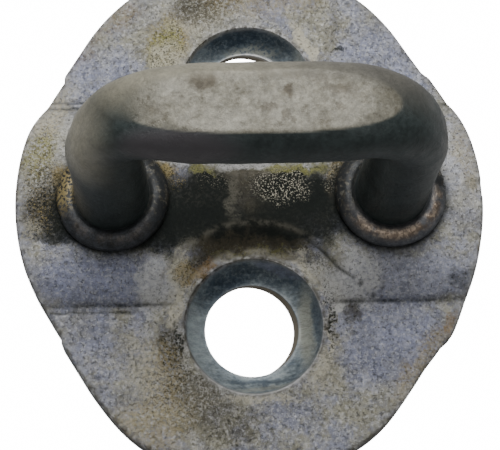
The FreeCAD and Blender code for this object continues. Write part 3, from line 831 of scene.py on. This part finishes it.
# Stains on the plate, some with painted shade: colour, centre (x, y), half sizes (x, y), turn in degrees, strength,
# and how speckled it is. The first eight rows, under the crossbar between the legs, are grime laid darker as painted
# shade.
PLATE_STAINS_AND_SHADE = (
    ("soil", (0, -0.2), (14.0, 6.4), 0, 0.93, 0.05),
    ("grime", (-7.5, -0.4), (6.8, 4.6), 0, 0.95, 0.2),
    ("grime", (-7, -3.4), (8.0, 3.6), 0, 0.93, 0.1),
    ("grime", (6.4, -3.0), (8.4, 4.2), 0, 0.95, 0.1),
    ("grime", (0, -5.0), (7.5, 2.0), 0, 0.6, 0.3),
    ("grime", (6.0, 1.0), (6.8, 3.4), 0, 0.98, 0.05),
    ("grime", (-4.8, 2.2), (2.8, 1.9), 0, 0.95, 0.15),
    ("grime", (-12.2, -4.6), (4.2, 3.6), 0, 0.93, 0.1),
    ("stone", (-2.4, 0.0), (0.9, 3.6), -4, 0.45, 0.6),
    ("zinc_light", (0, 5.4), (12.5, 1.3), 0, 0.85, 0.3),
    ("stone", (1.0, 5.2), (12.5, 1.4), 0, 0.3, 0.9),
    ("moss", (5.4, 4.1), (4.4, 0.9), 0, 0.85, 0.4),
    ("moss", (-6.4, 3.9), (2.0, 0.8), 0, 0.7, 0.5),
    ("ochre", (-11.4, 4.2), (1.5, 1.5), 10, 0.95, 0.2),
    ("soil", (-11.0, 2.6), (1.6, 1.2), 10, 0.7, 0.5),
    ("ochre", (11.6, 3.8), (2.0, 1.3), 20, 0.7, 0.7),
    ("soil", (11.4, 1.4), (1.6, 3.4), 0, 0.75, 0.6),
    ("soil", (-25.0, -1.2), (3.6, 4.6), 0, 0.9, 0.3),
    ("grime", (-24.6, -2.4), (2.6, 3.8), 0, 0.85, 0.3),
    ("soil", (-28.4, -2.4), (2.2, 3.4), 0, 0.85, 0.5),
    ("grime", (-26.0, -4.8), (4.4, 1.3), -8, 0.7, 0.3),
    ("deposit", (-28.6, -4.2), (1.6, 1.6), 0, 0.4, 0.9),
    ("ochre", (-24.9, 3.0), (1.1, 2.2), 0, 0.9, 0.4),
    ("deposit", (-27.5, 7.6), (2.8, 4.4), -25, 0.6, 0.7),
    ("moss", (-27.6, 6.4), (2.4, 4.0), -25, 0.7, 1.0),
    ("soil", (-26.8, 2.5), (2.6, 2.8), -10, 0.6, 0.9),
    ("ochre", (-26.6, 12.0), (2.4, 4.0), -25, 0.35, 0.9),
    ("deposit", (-26.3, 14.0), (2.4, 5.4), -25, 0.5, 0.8),
    ("ochre", (-10.6, 23.4), (3.0, 4.6), -25, 0.8, 0.6),
    ("moss", (-11.2, 22.8), (2.4, 4.2), -20, 0.9, 0.7),
    ("deposit", (-10.9, 20.6), (2.6, 3.0), 0, 0.8, 0.8),
    ("deposit", (-6.5, 26.6), (5.0, 1.6), 15, 0.6, 0.8),
    ("soil", (-6.0, 28.6), (4.6, 2.6), 15, 0.75, 0.9),
    ("rust", (-17.5, 27.6), (3.6, 2.8), 40, 0.35, 0.9),
    ("rust", (-21.8, 23.0), (1.7, 3.6), -30, 0.3, 0.9),
    ("ochre", (3.0, 30.5), (9.0, 4.0), 0, 0.35, 0.7),
    ("soil", (0, -6.6), (8.4, 1.6), 0, 0.9, 0.3),
    ("soil", (-6.8, -8.3), (3.4, 1.6), 38, 0.7, 0.4),
    ("deposit", (-9.6, -10.4), (1.4, 2.6), -20, 0.75, 0.5),
    ("rust", (-6.4, -8.9), (2.3, 0.8), 38, 0.8, 0.35),
    ("deposit", (-9.9, -9.0), (1.2, 2.2), -30, 0.6, 0.6),
    ("ochre", (-8.6, -9.8), (1.4, 1.2), 50, 0.6, 0.6),
    ("soil", (-3.0, -6.0), (4.6, 1.3), 8, 0.75, 0.4),
    ("moss", (0.5, -6.9), (6.0, 0.7), 0, 0.3, 0.9),
    ("stone", (1.5, -7.3), (6.0, 0.5), -3, 0.7, 0.6),
    ("deposit", (7.4, -9.2), (2.8, 1.1), -42, 0.9, 0.5),
    ("deposit", (10.2, -12.6), (1.3, 2.8), 24, 0.8, 0.5),
    ("stone", (11.4, -9.0), (0.9, 1.8), 35, 0.6, 0.5),
    ("deposit", (9.8, -16.5), (0.7, 4.6), 0, 0.85, 0.7),
    ("deposit", (8.9, -21.0), (0.8, 3.0), -25, 0.6, 0.7),
    ("grime", (9.9, -15.8), (0.45, 3.4), 4, 0.9, 1.0),
    ("deposit", (-10.3, -13.6), (1.2, 3.4), 4, 0.9, 0.35),
    ("deposit", (0, -26.2), (6.5, 0.5), 0, 0.6, 0.5),
    ("deposit", (8.0, 22.6), (0.9, 3.8), 32, 1.0, 0.2),
    ("soil", (-10.9, -19.4), (1.6, 3.4), 8, 0.75, 0.8),
    ("grime", (-9.8, -18.4), (0.6, 2.2), 0, 0.9, 1.0),
    ("soil", (-8.0, -24.8), (3.6, 3.0), -30, 0.6, 0.85),
    ("ochre", (-11.8, -22.5), (2.6, 4.0), 0, 0.4, 0.9),
    ("deposit", (-14.5, -21.5), (2.4, 4.8), 15, 0.4, 0.9),
    ("ochre", (-14.0, -29.5), (7.0, 4.0), 20, 0.4, 0.85),
    ("soil", (-4.0, -29.5), (4.2, 3.6), 0, 0.5, 0.85),
    ("deposit", (8.4, -23.4), (2.6, 2.6), 30, 0.35, 0.8),
    ("ochre", (21.8, -21.5), (2.2, 7.0), -38, 0.45, 0.8),
    ("rust", (25.2, -16.8), (0.9, 1.3), -30, 0.85, 0.4),
    ("zinc_light", (-12.6, -11.4), (2.2, 3.6), -10, 0.7, 0.5),
    ("zinc_light", (13.8, -10.4), (3.2, 3.8), 20, 0.7, 0.5),
    ("zinc_light", (8.6, -9.6), (2.6, 1.0), -42, 0.6, 0.6),
    ("zinc_light", (10.6, -12.6), (1.7, 3.0), 12, 0.8, 0.45),
    ("soil", (13.0, -15.4), (1.3, 1.2), 0, 0.7, 0.0),
    ("grime", (27.8, -11.0), (3.4, 1.3), 12, 0.6, 0.3),
    ("soil", (27.4, -2.4), (2.4, 3.6), 10, 0.3, 0.85),
    ("ochre", (28.2, 5.0), (1.6, 6.0), 10, 0.3, 0.85),
    ("stone", (11.4, 24.0), (0.8, 4.6), -14, 0.5, 0.7),
    ("grime", (12.4, 21.8), (1.1, 0.3), 12, 0.8, 0.1),
)

# Fine pale specks on the dirt and painted shade between the legs and out to the left, in the same order of values.
PLATE_SPECKS = (
    ("deposit", (3.9, 1.7), (4.2, 2.6), 0, 1.0, 1.0),
    ("stone", (-4.6, 2.4), (2.6, 1.6), 0, 0.9, 1.0),
    ("deposit", (11.2, 2.6), (1.8, 2.4), 0, 0.8, 1.0),
    ("ochre", (-11.0, 3.0), (2.4, 2.4), 0, 0.7, 1.0),
    ("stone", (0, -7.0), (7.8, 1.2), 0, 0.6, 1.0),
    ("ochre", (-27.4, 2.0), (3.0, 7.0), 0, 0.6, 1.0),
    ("deposit", (-10.6, 22.6), (3.4, 4.6), -25, 0.8, 1.0),
    ("deposit", (-4.0, 27.0), (7.0, 2.0), 15, 0.5, 1.0),
    ("deposit", (-9.5, -23.0), (5.0, 7.0), 0, 0.3, 1.0),
    ("ochre", (22.5, -22.0), (2.0, 7.0), -38, 0.5, 1.0),
)

# Fine dark specks, in the same order of values.
DARK_SPECKS = (
    ("grime", (-26.6, -1.0), (3.6, 6.0), 0, 0.9, 1.0),
    ("soil", (-27.6, 6.0), (2.6, 6.0), -20, 0.7, 1.0),
    ("grime", (-11.0, 22.6), (3.0, 4.6), -25, 0.75, 1.0),
    ("soil", (-5.5, 27.8), (6.0, 3.0), 15, 0.6, 1.0),
    ("grime", (-12.4, 3.6), (3.0, 3.0), 0, 0.8, 1.0),
    ("grime", (11.8, 3.0), (2.6, 3.0), 0, 0.8, 1.0),
    ("grime", (0, 4.6), (12.0, 1.6), 0, 0.5, 1.0),
    ("grime", (-10.4, -20.4), (1.8, 4.2), 8, 0.8, 1.0),
    ("soil", (-8.6, -25.0), (6.0, 5.0), -20, 0.7, 1.0),
    ("grime", (9.6, -16.0), (0.9, 5.6), 0, 0.85, 1.0),
    ("grime", (-7.4, -9.2), (3.4, 1.6), 38, 0.7, 1.0),
    ("grime", (7.6, -8.4), (3.0, 1.0), -42, 0.6, 1.0),
    ("soil", (22.0, -22.0), (1.6, 8.0), -38, 0.5, 1.0),
)

# Colours inside the dishes, in the same order of values: mostly painted reflections in teal and olive, painted shade
# in blue-black on the walls that face -Y, and some stains.
DISH_REFLECTIONS_AND_STAINS = (
    ("teal_light", (-7.6, -17.5), (1.8, 6.0), 8, 0.75, 0.0),
    ("olive_light", (6.7, -16.6), (1.15, 5.6), 0, 0.9, 0.1),
    ("teal_dark", (8.2, -15.5), (0.7, 5.6), 4, 0.75, 0.1),
    ("ink_stain_and_shade", (0.2, -9.6), (6.6, 2.2), 0, 0.75, 0.3),
    ("lilac", (3.4, -8.6), (4.4, 0.9), -22, 0.55, 0.5),
    ("ink_stain_and_shade", (-3.8, -10.6), (3.6, 1.2), 28, 0.7, 0.4),
    ("ink_stain_and_shade", (-6.3, -12.2), (2.2, 2.4), 40, 0.5, 0.3),
    ("teal_dark", (1.0, -23.4), (6.2, 0.35), 0, 0.8, 0.1),
    ("olive_light", (2.0, -24.4), (5.6, 0.5), 4, 0.6, 0.2),
    ("ink_stain_and_shade", (0.2, 23.4), (8.0, 3.0), 0, 0.9, 0.25),
    ("teal_light", (-7.8, 19.0), (1.2, 3.4), 10, 0.6, 0.2),
    ("olive_light", (7.4, 19.5), (1.1, 3.0), 0, 0.5, 0.3),
    ("olive_light", (0.6, 22.4), (4.2, 1.4), 0, 0.6, 1.0),
)


def stained(net, stains, colours, colour, where, speck, cover):
    """Lays a list of stains over a colour where cover is 1. Returns the colour and the mask of all of them."""
    total = 0.0
    for name, centre, reach, turn, strength, speckled in stains:
        patch = stain_patch(net, where, (*centre, 5.0), (*reach, 9.0), math.radians(-turn))
        amount = net.times(net.times(net.times(patch, net.blend(speckled, 1.0, speck)), strength), cover)
        colour = net.mix(amount, colour, getattr(colours, name))
        total = net.math("MAXIMUM", total, amount)
    return colour, total


def plate_zinc(colours):
    """Dull zinc plating: mottled blue-grey, stains and deposits in their places, worn edges, dirt in the creases;
    painted shade under the crossbar, in the creases, on the notch's wall and round the collars, painted highlights on
    the notch's lip, the lower dish's lip and the bores' edges, and painted reflections and shade in the dishes.
    """
    material, net, shader = finish_of("plate_zinc")
    place = millimetres(net)
    elsewhere = net.vector("ADD", place, (31.0, 7.0, 3.0))
    ragged_place = ragged(net, place, 3.0, 1.7)
    speck = speckles(net, place, 2.3, 0.62, 0.05)
    dark_fleck = speckles(net, elsewhere, 2.6, 0.29, 0.03)
    dish = net.mask("dish")
    outside = net.math("SUBTRACT", 1.0, dish, clamp=True)

    def stains_on(colour, stains, specks):
        return stained(net, stains, colours, colour, ragged_place, specks, outside)

    hue = net.span(net.noise(elsewhere, 0.2, 8.0, 0.78), 0.41, 0.59)
    colour, _ = stains_on(net.mix(hue, colours.zinc_blue, colours.zinc_warm), PLATE_HUES, speck)
    shade = net.times(mottle(net, place, 0.26, 0.70, 1.12), mottle(net, elsewhere, 1.5, 0.78, 1.20))
    colour = net.scaled(colour, shade)
    colour = net.lay(colour, speckles(net, place, 0.9, 0.46, 0.03), 0.16, colours.zinc_light)
    colour = net.lay(colour, speckles(net, place, 2.6, 0.36, 0.03), 0.42, colours.zinc_light)
    colour = net.lay(colour, dark_fleck, 0.6, colours.zinc_dark)
    # Painted shade on the notch's steep wall, laid as speckled soil.
    colour = net.lay(colour, net.times(net.mask("slope"), speckles(net, place, 1.6, 0.8)), 0.6, colours.soil)
    # The stains include painted shade: the grime under the crossbar is laid darker than dirt alone, as its shadow.
    colour, dirt = stains_on(colour, PLATE_STAINS_AND_SHADE, speck)
    colour = net.lay(colour, net.times(dirt, dark_fleck), 0.6, colours.grime)
    colour = net.scaled(colour, mottle(net, place, 2.0, 0.84, 1.15))
    colour, _ = stains_on(colour, PLATE_SPECKS, speckles(net, elsewhere, 5.2, 0.37, 0.05))
    colour, _ = stains_on(colour, DARK_SPECKS, speckles(net, place, 4.4, 0.42, 0.04))
    # Along the notch: pale deposit at its foot, a painted highlight in stone colour along its lip, grime along the
    # score.
    for mask, scale, strength, paint in (("notch_foot", 0.5, 0.25, colours.deposit),
                                         ("notch_arch", 0.8, 0.55, colours.stone),
                                         ("notch_edge", 0.35, 0.8, colours.grime)):
        colour = net.lay(colour, edge_wear_and_highlight(net, mask, place, scale), strength, paint)
    # Grime in the band's creases, partly dirt and partly painted shade.
    crease = net.times(net.mask("crease"), mottle(net, place, 0.4, 0.35, 0.95))
    # A painted shadow round each collar's foot, laid in grime colour.
    seat = net.times(net.mask("seat"), 0.9)
    colour = net.mix(seat, net.mix(crease, colour, colours.grime), colours.grime)

    # Inside the dishes: mottled, streaked teal metal, mostly painted reflections, with painted shade and stains laid
    # over it.
    inside = net.mix(mottle(net, place, 0.3), colours.teal_dark, colours.teal_light)
    inside, _ = stained(net, DISH_REFLECTIONS_AND_STAINS, colours, inside, ragged(net, place, 1.0, 0.8), speck, dish)
    streak = net.add("Mapping", {"Vector": place, "Scale": (0.45, 2.2, 1.0)}).outputs[0]
    inside = net.scaled(inside, mottle(net, streak, 0.9, 0.72, 1.22))
    colour = net.mix(dish, colour, net.mix(net.mask("bore"), inside, colours.bore_wall))

    colour = net.lay(colour, edge_wear_and_highlight(net, "rim", place, 0.7), 0.7, colours.zinc_light)
    colour = net.lay(colour, net.times(edge_wear_and_highlight(net, "rim", elsewhere, 1.3), outside), 0.85, colours.soil)
    # Painted highlights on the lower dish's lip and the bores' edges, laid in light zinc.
    painted_highlight = net.math("MAXIMUM", net.mask("bore_edge"), net.mask("mouth_lip"))
    colour = net.lay(colour, painted_highlight, 0.75, colours.zinc_light)
    colour = net.lay(colour, net.times(net.mask("side"), outside), 0.8, colours.side_dark)

    matt = net.math("MAXIMUM", net.math("MAXIMUM", net.times(dirt, 1.2, clamp=True), seat), crease)
    metallic = net.span(matt, 0.0, 0.8, 0.3, 0.0)
    rough = net.blend(matt, net.blend(dish, mottle(net, place, 0.6, 0.5, 0.7), 0.42), 0.85)
    grain, lumps = net.noise(place, 3.2, 4.0, 0.65), net.noise(place, 1.1, 3.0, 0.6)
    relief = net.math("ADD", net.times(grain, 0.45), net.times(lumps, 0.8))
    relief = net.math("SUBTRACT", relief, net.times(dark_fleck, 0.4))
    relief = net.times(relief, net.blend(dish, 1.0, 0.25))
    net.put(shader.inputs["Specular IOR Level"], 0.2)
    dress(net, shader, colour, metallic, rough, relief, 0.8, 0.14 * MM)
    return material


# Stains on the bar: colour, centre (x, y, z), half sizes, strength.
BAR_STAINS = (
    ("bar_stain", (-6.4, 3.0, 39.5), (1.7, 1.5, 3.0), 0.95),
    ("bar_stain", (2.9, 1.2, 39.5), (0.7, 0.7, 3.0), 0.95),
    ("bar_stain", (1.2, -0.9, 39.5), (1.3, 0.5, 3.0), 0.6),
    ("bar_stain", (9.4, 1.2, 39.5), (1.7, 0.9, 3.0), 0.4),
    ("bar_stain", (-11.0, -0.6, 39.5), (1.4, 0.6, 3.0), 0.3),
    ("bar_stain", (6.0, 3.2, 39.5), (5.0, 0.8, 3.0), 0.45),
    ("bare_steel", (10.2, -2.9, 39.5), (3.2, 0.5, 2.0), 0.8),
    ("bare_steel", (-4.6, -1.8, 39.5), (2.4, 1.2, 2.0), 0.6),
)


def loop_steel(colours):
    """The bar: a rubbed pale oval on the flat, an olive-brown film on its top, rear and outer sides, darker towards
    +X as painted shade, and dark, greasy legs, front and underside, darkened further as painted shade."""
    material, net, shader = finish_of("loop_steel")
    place = millimetres(net)
    across = net.add("SeparateXYZ", {0: place}).outputs[0]
    # The film darkens towards +X, partly painted shade on the bar's right.
    film = net.mix(net.span(across, -6.0, 14.0), colours.bar_film, colours.bar_film_dark_and_shade)
    film = net.scaled(film, mottle(net, place, 0.5, 0.8, 1.2))
    # Dark steel on the legs, the bar's front and its underside, darkened further as painted shade.
    legs = net.mix(mottle(net, place, 0.35), colours.bar_black_and_shade, colours.bar_dark_and_shade)
    mauve = stain_patch(net, place, (-9.5, -4.6, 37.4), (7.5, 2.6, 3.0))
    legs = net.lay(legs, mauve, 0.8, colours.bar_mauve)
    rusty_foot = stain_patch(net, place, (-22.6, -0.5, 15.0), (3.2, 4.4, 9.0))
    legs = net.lay(legs, rusty_foot, 0.55, colours.stone)
    blot = speckles(net, place, 0.6, 0.4, 0.12)
    pale = net.mix(mottle(net, place, 0.42), colours.bar_worn, colours.bare_steel)
    pale = net.lay(pale, blot, 0.55, colours.bar_stain)
    uneven = ragged(net, place, 2.0, 1.0)
    for name, centre, reach, strength in BAR_STAINS:
        pale = net.lay(pale, stain_patch(net, uneven, centre, reach), strength, getattr(colours, name))
    pale = net.scaled(pale, mottle(net, place, 1.3, 0.78, 1.2))
    rubbed = net.mask("rubbed")
    colour = net.mix(rubbed, net.mix(net.mask("film"), legs, film), pale)
    relief = net.math("ADD", net.noise(place, 2.6, 4.0, 0.6), net.times(blot, -0.5))
    dress(net, shader, colour, net.blend(rubbed, 0.2, 0.25), mottle(net, place, 0.7, 0.44, 0.62), relief,
          0.6, 0.07 * MM)
    return material


def collar_steel(colours, name, side, rubbed, shades):
    """A collar: dark, crusted steel, darkened next to the leg, a painted undercut shadow low on the side, and the
    dome rubbed by the share rubbed in a sector at its outer front, its coppery crest partly a painted sheen. side is
    -1 for the left collar and 1 for the right."""
    material, net, shader = finish_of(name)
    place = millimetres(net)
    sector = stain_patch(net, place, (side * 20.6, -4.6, 8.5), (8.8, 5.0, 4.0))
    colour = net.mix(sector, colours.collar_dark, net.mix(mottle(net, place, 0.8), *shades))
    # The rubbed crest: coppery metal, partly a painted sheen.
    crest = net.times(net.times(edge_wear_and_highlight(net, "crest", place, 0.5), sector), rubbed)
    tint = speckles(net, place, 1.7, 0.52, 0.08)
    colour = net.mix(crest, colour, net.mix(tint, colours.copper_dark, colours.copper_and_sheen))
    crust = net.math("SUBTRACT", speckles(net, place, 1.5, 0.5, 0.1), sector, clamp=True)
    colour = net.lay(colour, crust, 0.6, net.mix(tint, colours.soil, colours.stone))
    outer = stain_patch(net, place, (side * 12.0 - 12.5, 2.2, 8.5), (3.0, 4.6, 4.0))
    colour = net.lay(colour, net.times(outer, speckles(net, place, 2.4, 0.56, 0.05)), 0.8, colours.ochre)
    # Darker next to the leg, and a painted undercut shadow low on the side, both laid in grime.
    soil = net.math("MAXIMUM", net.times(net.mask("groove"), 0.7), net.times(net.mask("low"), 0.6))
    colour = net.mix(soil, colour, colours.grime)
    dress(net, shader, colour, net.span(crest, 0.0, 0.6, 0.3, 0.9), mottle(net, place, 0.9, 0.4, 0.62),
          net.noise(place, 2.4, 4.0, 0.6), 0.7, 0.09 * MM)
    return material


# ---------------------------------------------------------------- operators

class BuildPlate(bpy.types.Operator):
    """Builds the pressed plate"""
    bl_idname = "striker.build_plate"
    bl_label = "Build plate"

    def execute(self, context):
        s = settings()
        piece = piece_from("pressed_plate", plate_sheets(s.plate))
        plate_masks(piece, s.plate)
        piece.data.materials.append(plate_zinc(s.finish))
        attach(piece, "root")
        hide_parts("striker_plate")
        return {"FINISHED"}


class BuildLoop(bpy.types.Operator):
    """Builds the bent loop with its shanks and staked heads"""
    bl_idname = "striker.build_loop"
    bl_label = "Build loop"

    def execute(self, context):
        s = settings()
        piece = piece_from("bent_loop", [loop_sheet(s.loop)])
        loop_masks(piece, s.loop)
        piece.data.materials.append(loop_steel(s.finish))
        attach(piece, "root")
        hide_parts("striker_loop")
        return {"FINISHED"}


class BuildCollars(bpy.types.Operator):
    """Builds the two seat collars"""
    bl_idname = "striker.build_collars"
    bl_label = "Build collars"

    def execute(self, context):
        s = settings()
        paints = s.finish
        for name, node, side, nick, rubbed, shades in (
                ("left_collar", "left_seat_collar", -1, (math.radians(200), 0.12 * MM), 0.12,
                 (paints.collar_dark, paints.collar_grey)),
                ("right_collar", "right_seat_collar", 1, (math.radians(6), 0.35 * MM), 0.95,
                 (paints.collar_grey, paints.collar_light))):
            piece = piece_from(name, [collar_sheet(s.collar, side, nick)])
            collar_masks(piece, s.collar, side)
            piece.data.materials.append(collar_steel(s.finish, name + "_steel", side, rubbed, shades))
            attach(piece, "root")
            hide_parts(node)
        return {"FINISHED"}


class BuildStage(bpy.types.Operator):
    """Adds the floor, the soft lights, the room light and the camera"""
    bl_idname = "striker.build_stage"
    bl_label = "Build stage"

    def execute(self, context):
        s = settings().stage
        add_floor(s)
        add_room(s)
        add_light("key_light", Vector((-0.01, 0.25, 0.40)), 0.36, s.key_power)
        add_light("fill_light", Vector((0.02, -0.12, 0.47)), 0.30, s.fill_power)
        add_camera(s)
        return {"FINISHED"}


def add_floor(s):
    """A plain pale floor just under the plate. It looks evenly white, and sends light back as pale grey does."""
    reach = 1.2
    x, y = np.meshgrid([-reach, reach], [-reach, reach])
    floor = piece_from("floor", [sheet_of(np.stack([x, y, 0 * x - s.floor_drop], -1))])
    material, net, shader = finish_of("pale_floor")
    net.put(shader.inputs["Base Color"], (0.55, 0.55, 0.55, 1))
    net.put(shader.inputs["Roughness"], 0.9)
    glow = net.add("Emission", {"Color": (1, 1, 1, 1), "Strength": PALE})
    seen = net.add("LightPath").outputs["Is Camera Ray"]
    shown = net.add("MixShader", {0: seen, 1: shader.outputs[0], 2: glow.outputs[0]})
    output = material.node_tree.nodes["Material Output"]
    net.tree.links.new(shown.outputs[0], output.inputs["Surface"])
    floor.data.materials.append(material)


def add_room(s):
    """Even light from all round; past the floor's edge the room looks as pale as the floor."""
    world = bpy.data.worlds.new("room")
    world.use_nodes = True
    bpy.context.scene.world = world
    net = Net(world.node_tree)
    seen = net.add("LightPath").outputs["Is Camera Ray"]
    strength = net.blend(seen, s.room, PALE)
    net.put(world.node_tree.nodes["Background"].inputs["Color"], (1, 1, 1, 1))
    net.put(world.node_tree.nodes["Background"].inputs["Strength"], strength)


def add_light(name, place, size, power):
    """A square soft light at place, turned towards the object."""
    data = bpy.data.lights.new(name, "AREA")
    data.shape = "SQUARE"
    data.size = size
    data.energy = power
    light = bpy.data.objects.new(name, data)
    light.location = place
    light.rotation_euler = place.to_track_quat("Z", "Y").to_euler()
    bpy.context.scene.collection.objects.link(light)


def add_camera(s):
    """The camera: back along the plate's axis, tilted towards -Y, turned a little to the side and rolled."""
    tilt, side, roll = s.camera_tilt, s.camera_side, s.camera_roll
    back = Vector((math.sin(side), -math.sin(tilt) * math.cos(side), math.cos(tilt) * math.cos(side)))
    back.normalize()
    right = Vector((0, 1, 0)).cross(back).normalized()
    up = back.cross(right)
    rolled_right = right * math.cos(roll) + up * math.sin(roll)
    rolled_up = up * math.cos(roll) - right * math.sin(roll)
    turn = Matrix((rolled_right, rolled_up, back)).transposed().to_4x4()
    data = bpy.data.cameras.new("camera")
    data.lens = s.lens
    data.sensor_width = 36.0
    data.clip_start = 0.01
    camera = bpy.data.objects.new("camera", data)
    camera.matrix_world = Matrix.Translation(Vector(s.aim) + back * s.distance) @ turn
    bpy.context.scene.collection.objects.link(camera)
    bpy.context.scene.camera = camera


class StrikerPanel(bpy.types.Panel):
    """Lists the pieces, the stage and their settings"""
    bl_idname = "STRIKER_PT_pieces"
    bl_label = "Door latch striker"
    bl_space_type = "VIEW_3D"
    bl_region_type = "UI"
    bl_category = "Striker"

    def draw(self, context):
        for operator in OPERATORS:
            self.layout.operator(operator.bl_idname)
        for part in ("plate", "loop", "collar", "finish", "stage"):
            group = getattr(context.scene.striker, part)
            box = self.layout.box()
            box.label(text=part.capitalize())
            for name in group.__annotations__:
                box.prop(group, name)


OPERATORS = (BuildPlate, BuildLoop, BuildCollars, BuildStage)
CLASSES = (PlateSizes, LoopSizes, CollarSizes, Finishes, StageSettings, StrikerSettings, *OPERATORS, StrikerPanel)


def register():
    for item in CLASSES:
        bpy.utils.register_class(item)
    bpy.types.Scene.striker = bpy.props.PointerProperty(type=StrikerSettings)


def unregister():
    del bpy.types.Scene.striker
    for item in reversed(CLASSES):
        bpy.utils.unregister_class(item)


def main():
    register()
    bpy.ops.striker.build_plate()
    bpy.ops.striker.build_loop()
    bpy.ops.striker.build_collars()
    bpy.ops.striker.build_stage()


if __name__ == "__main__":
    main()
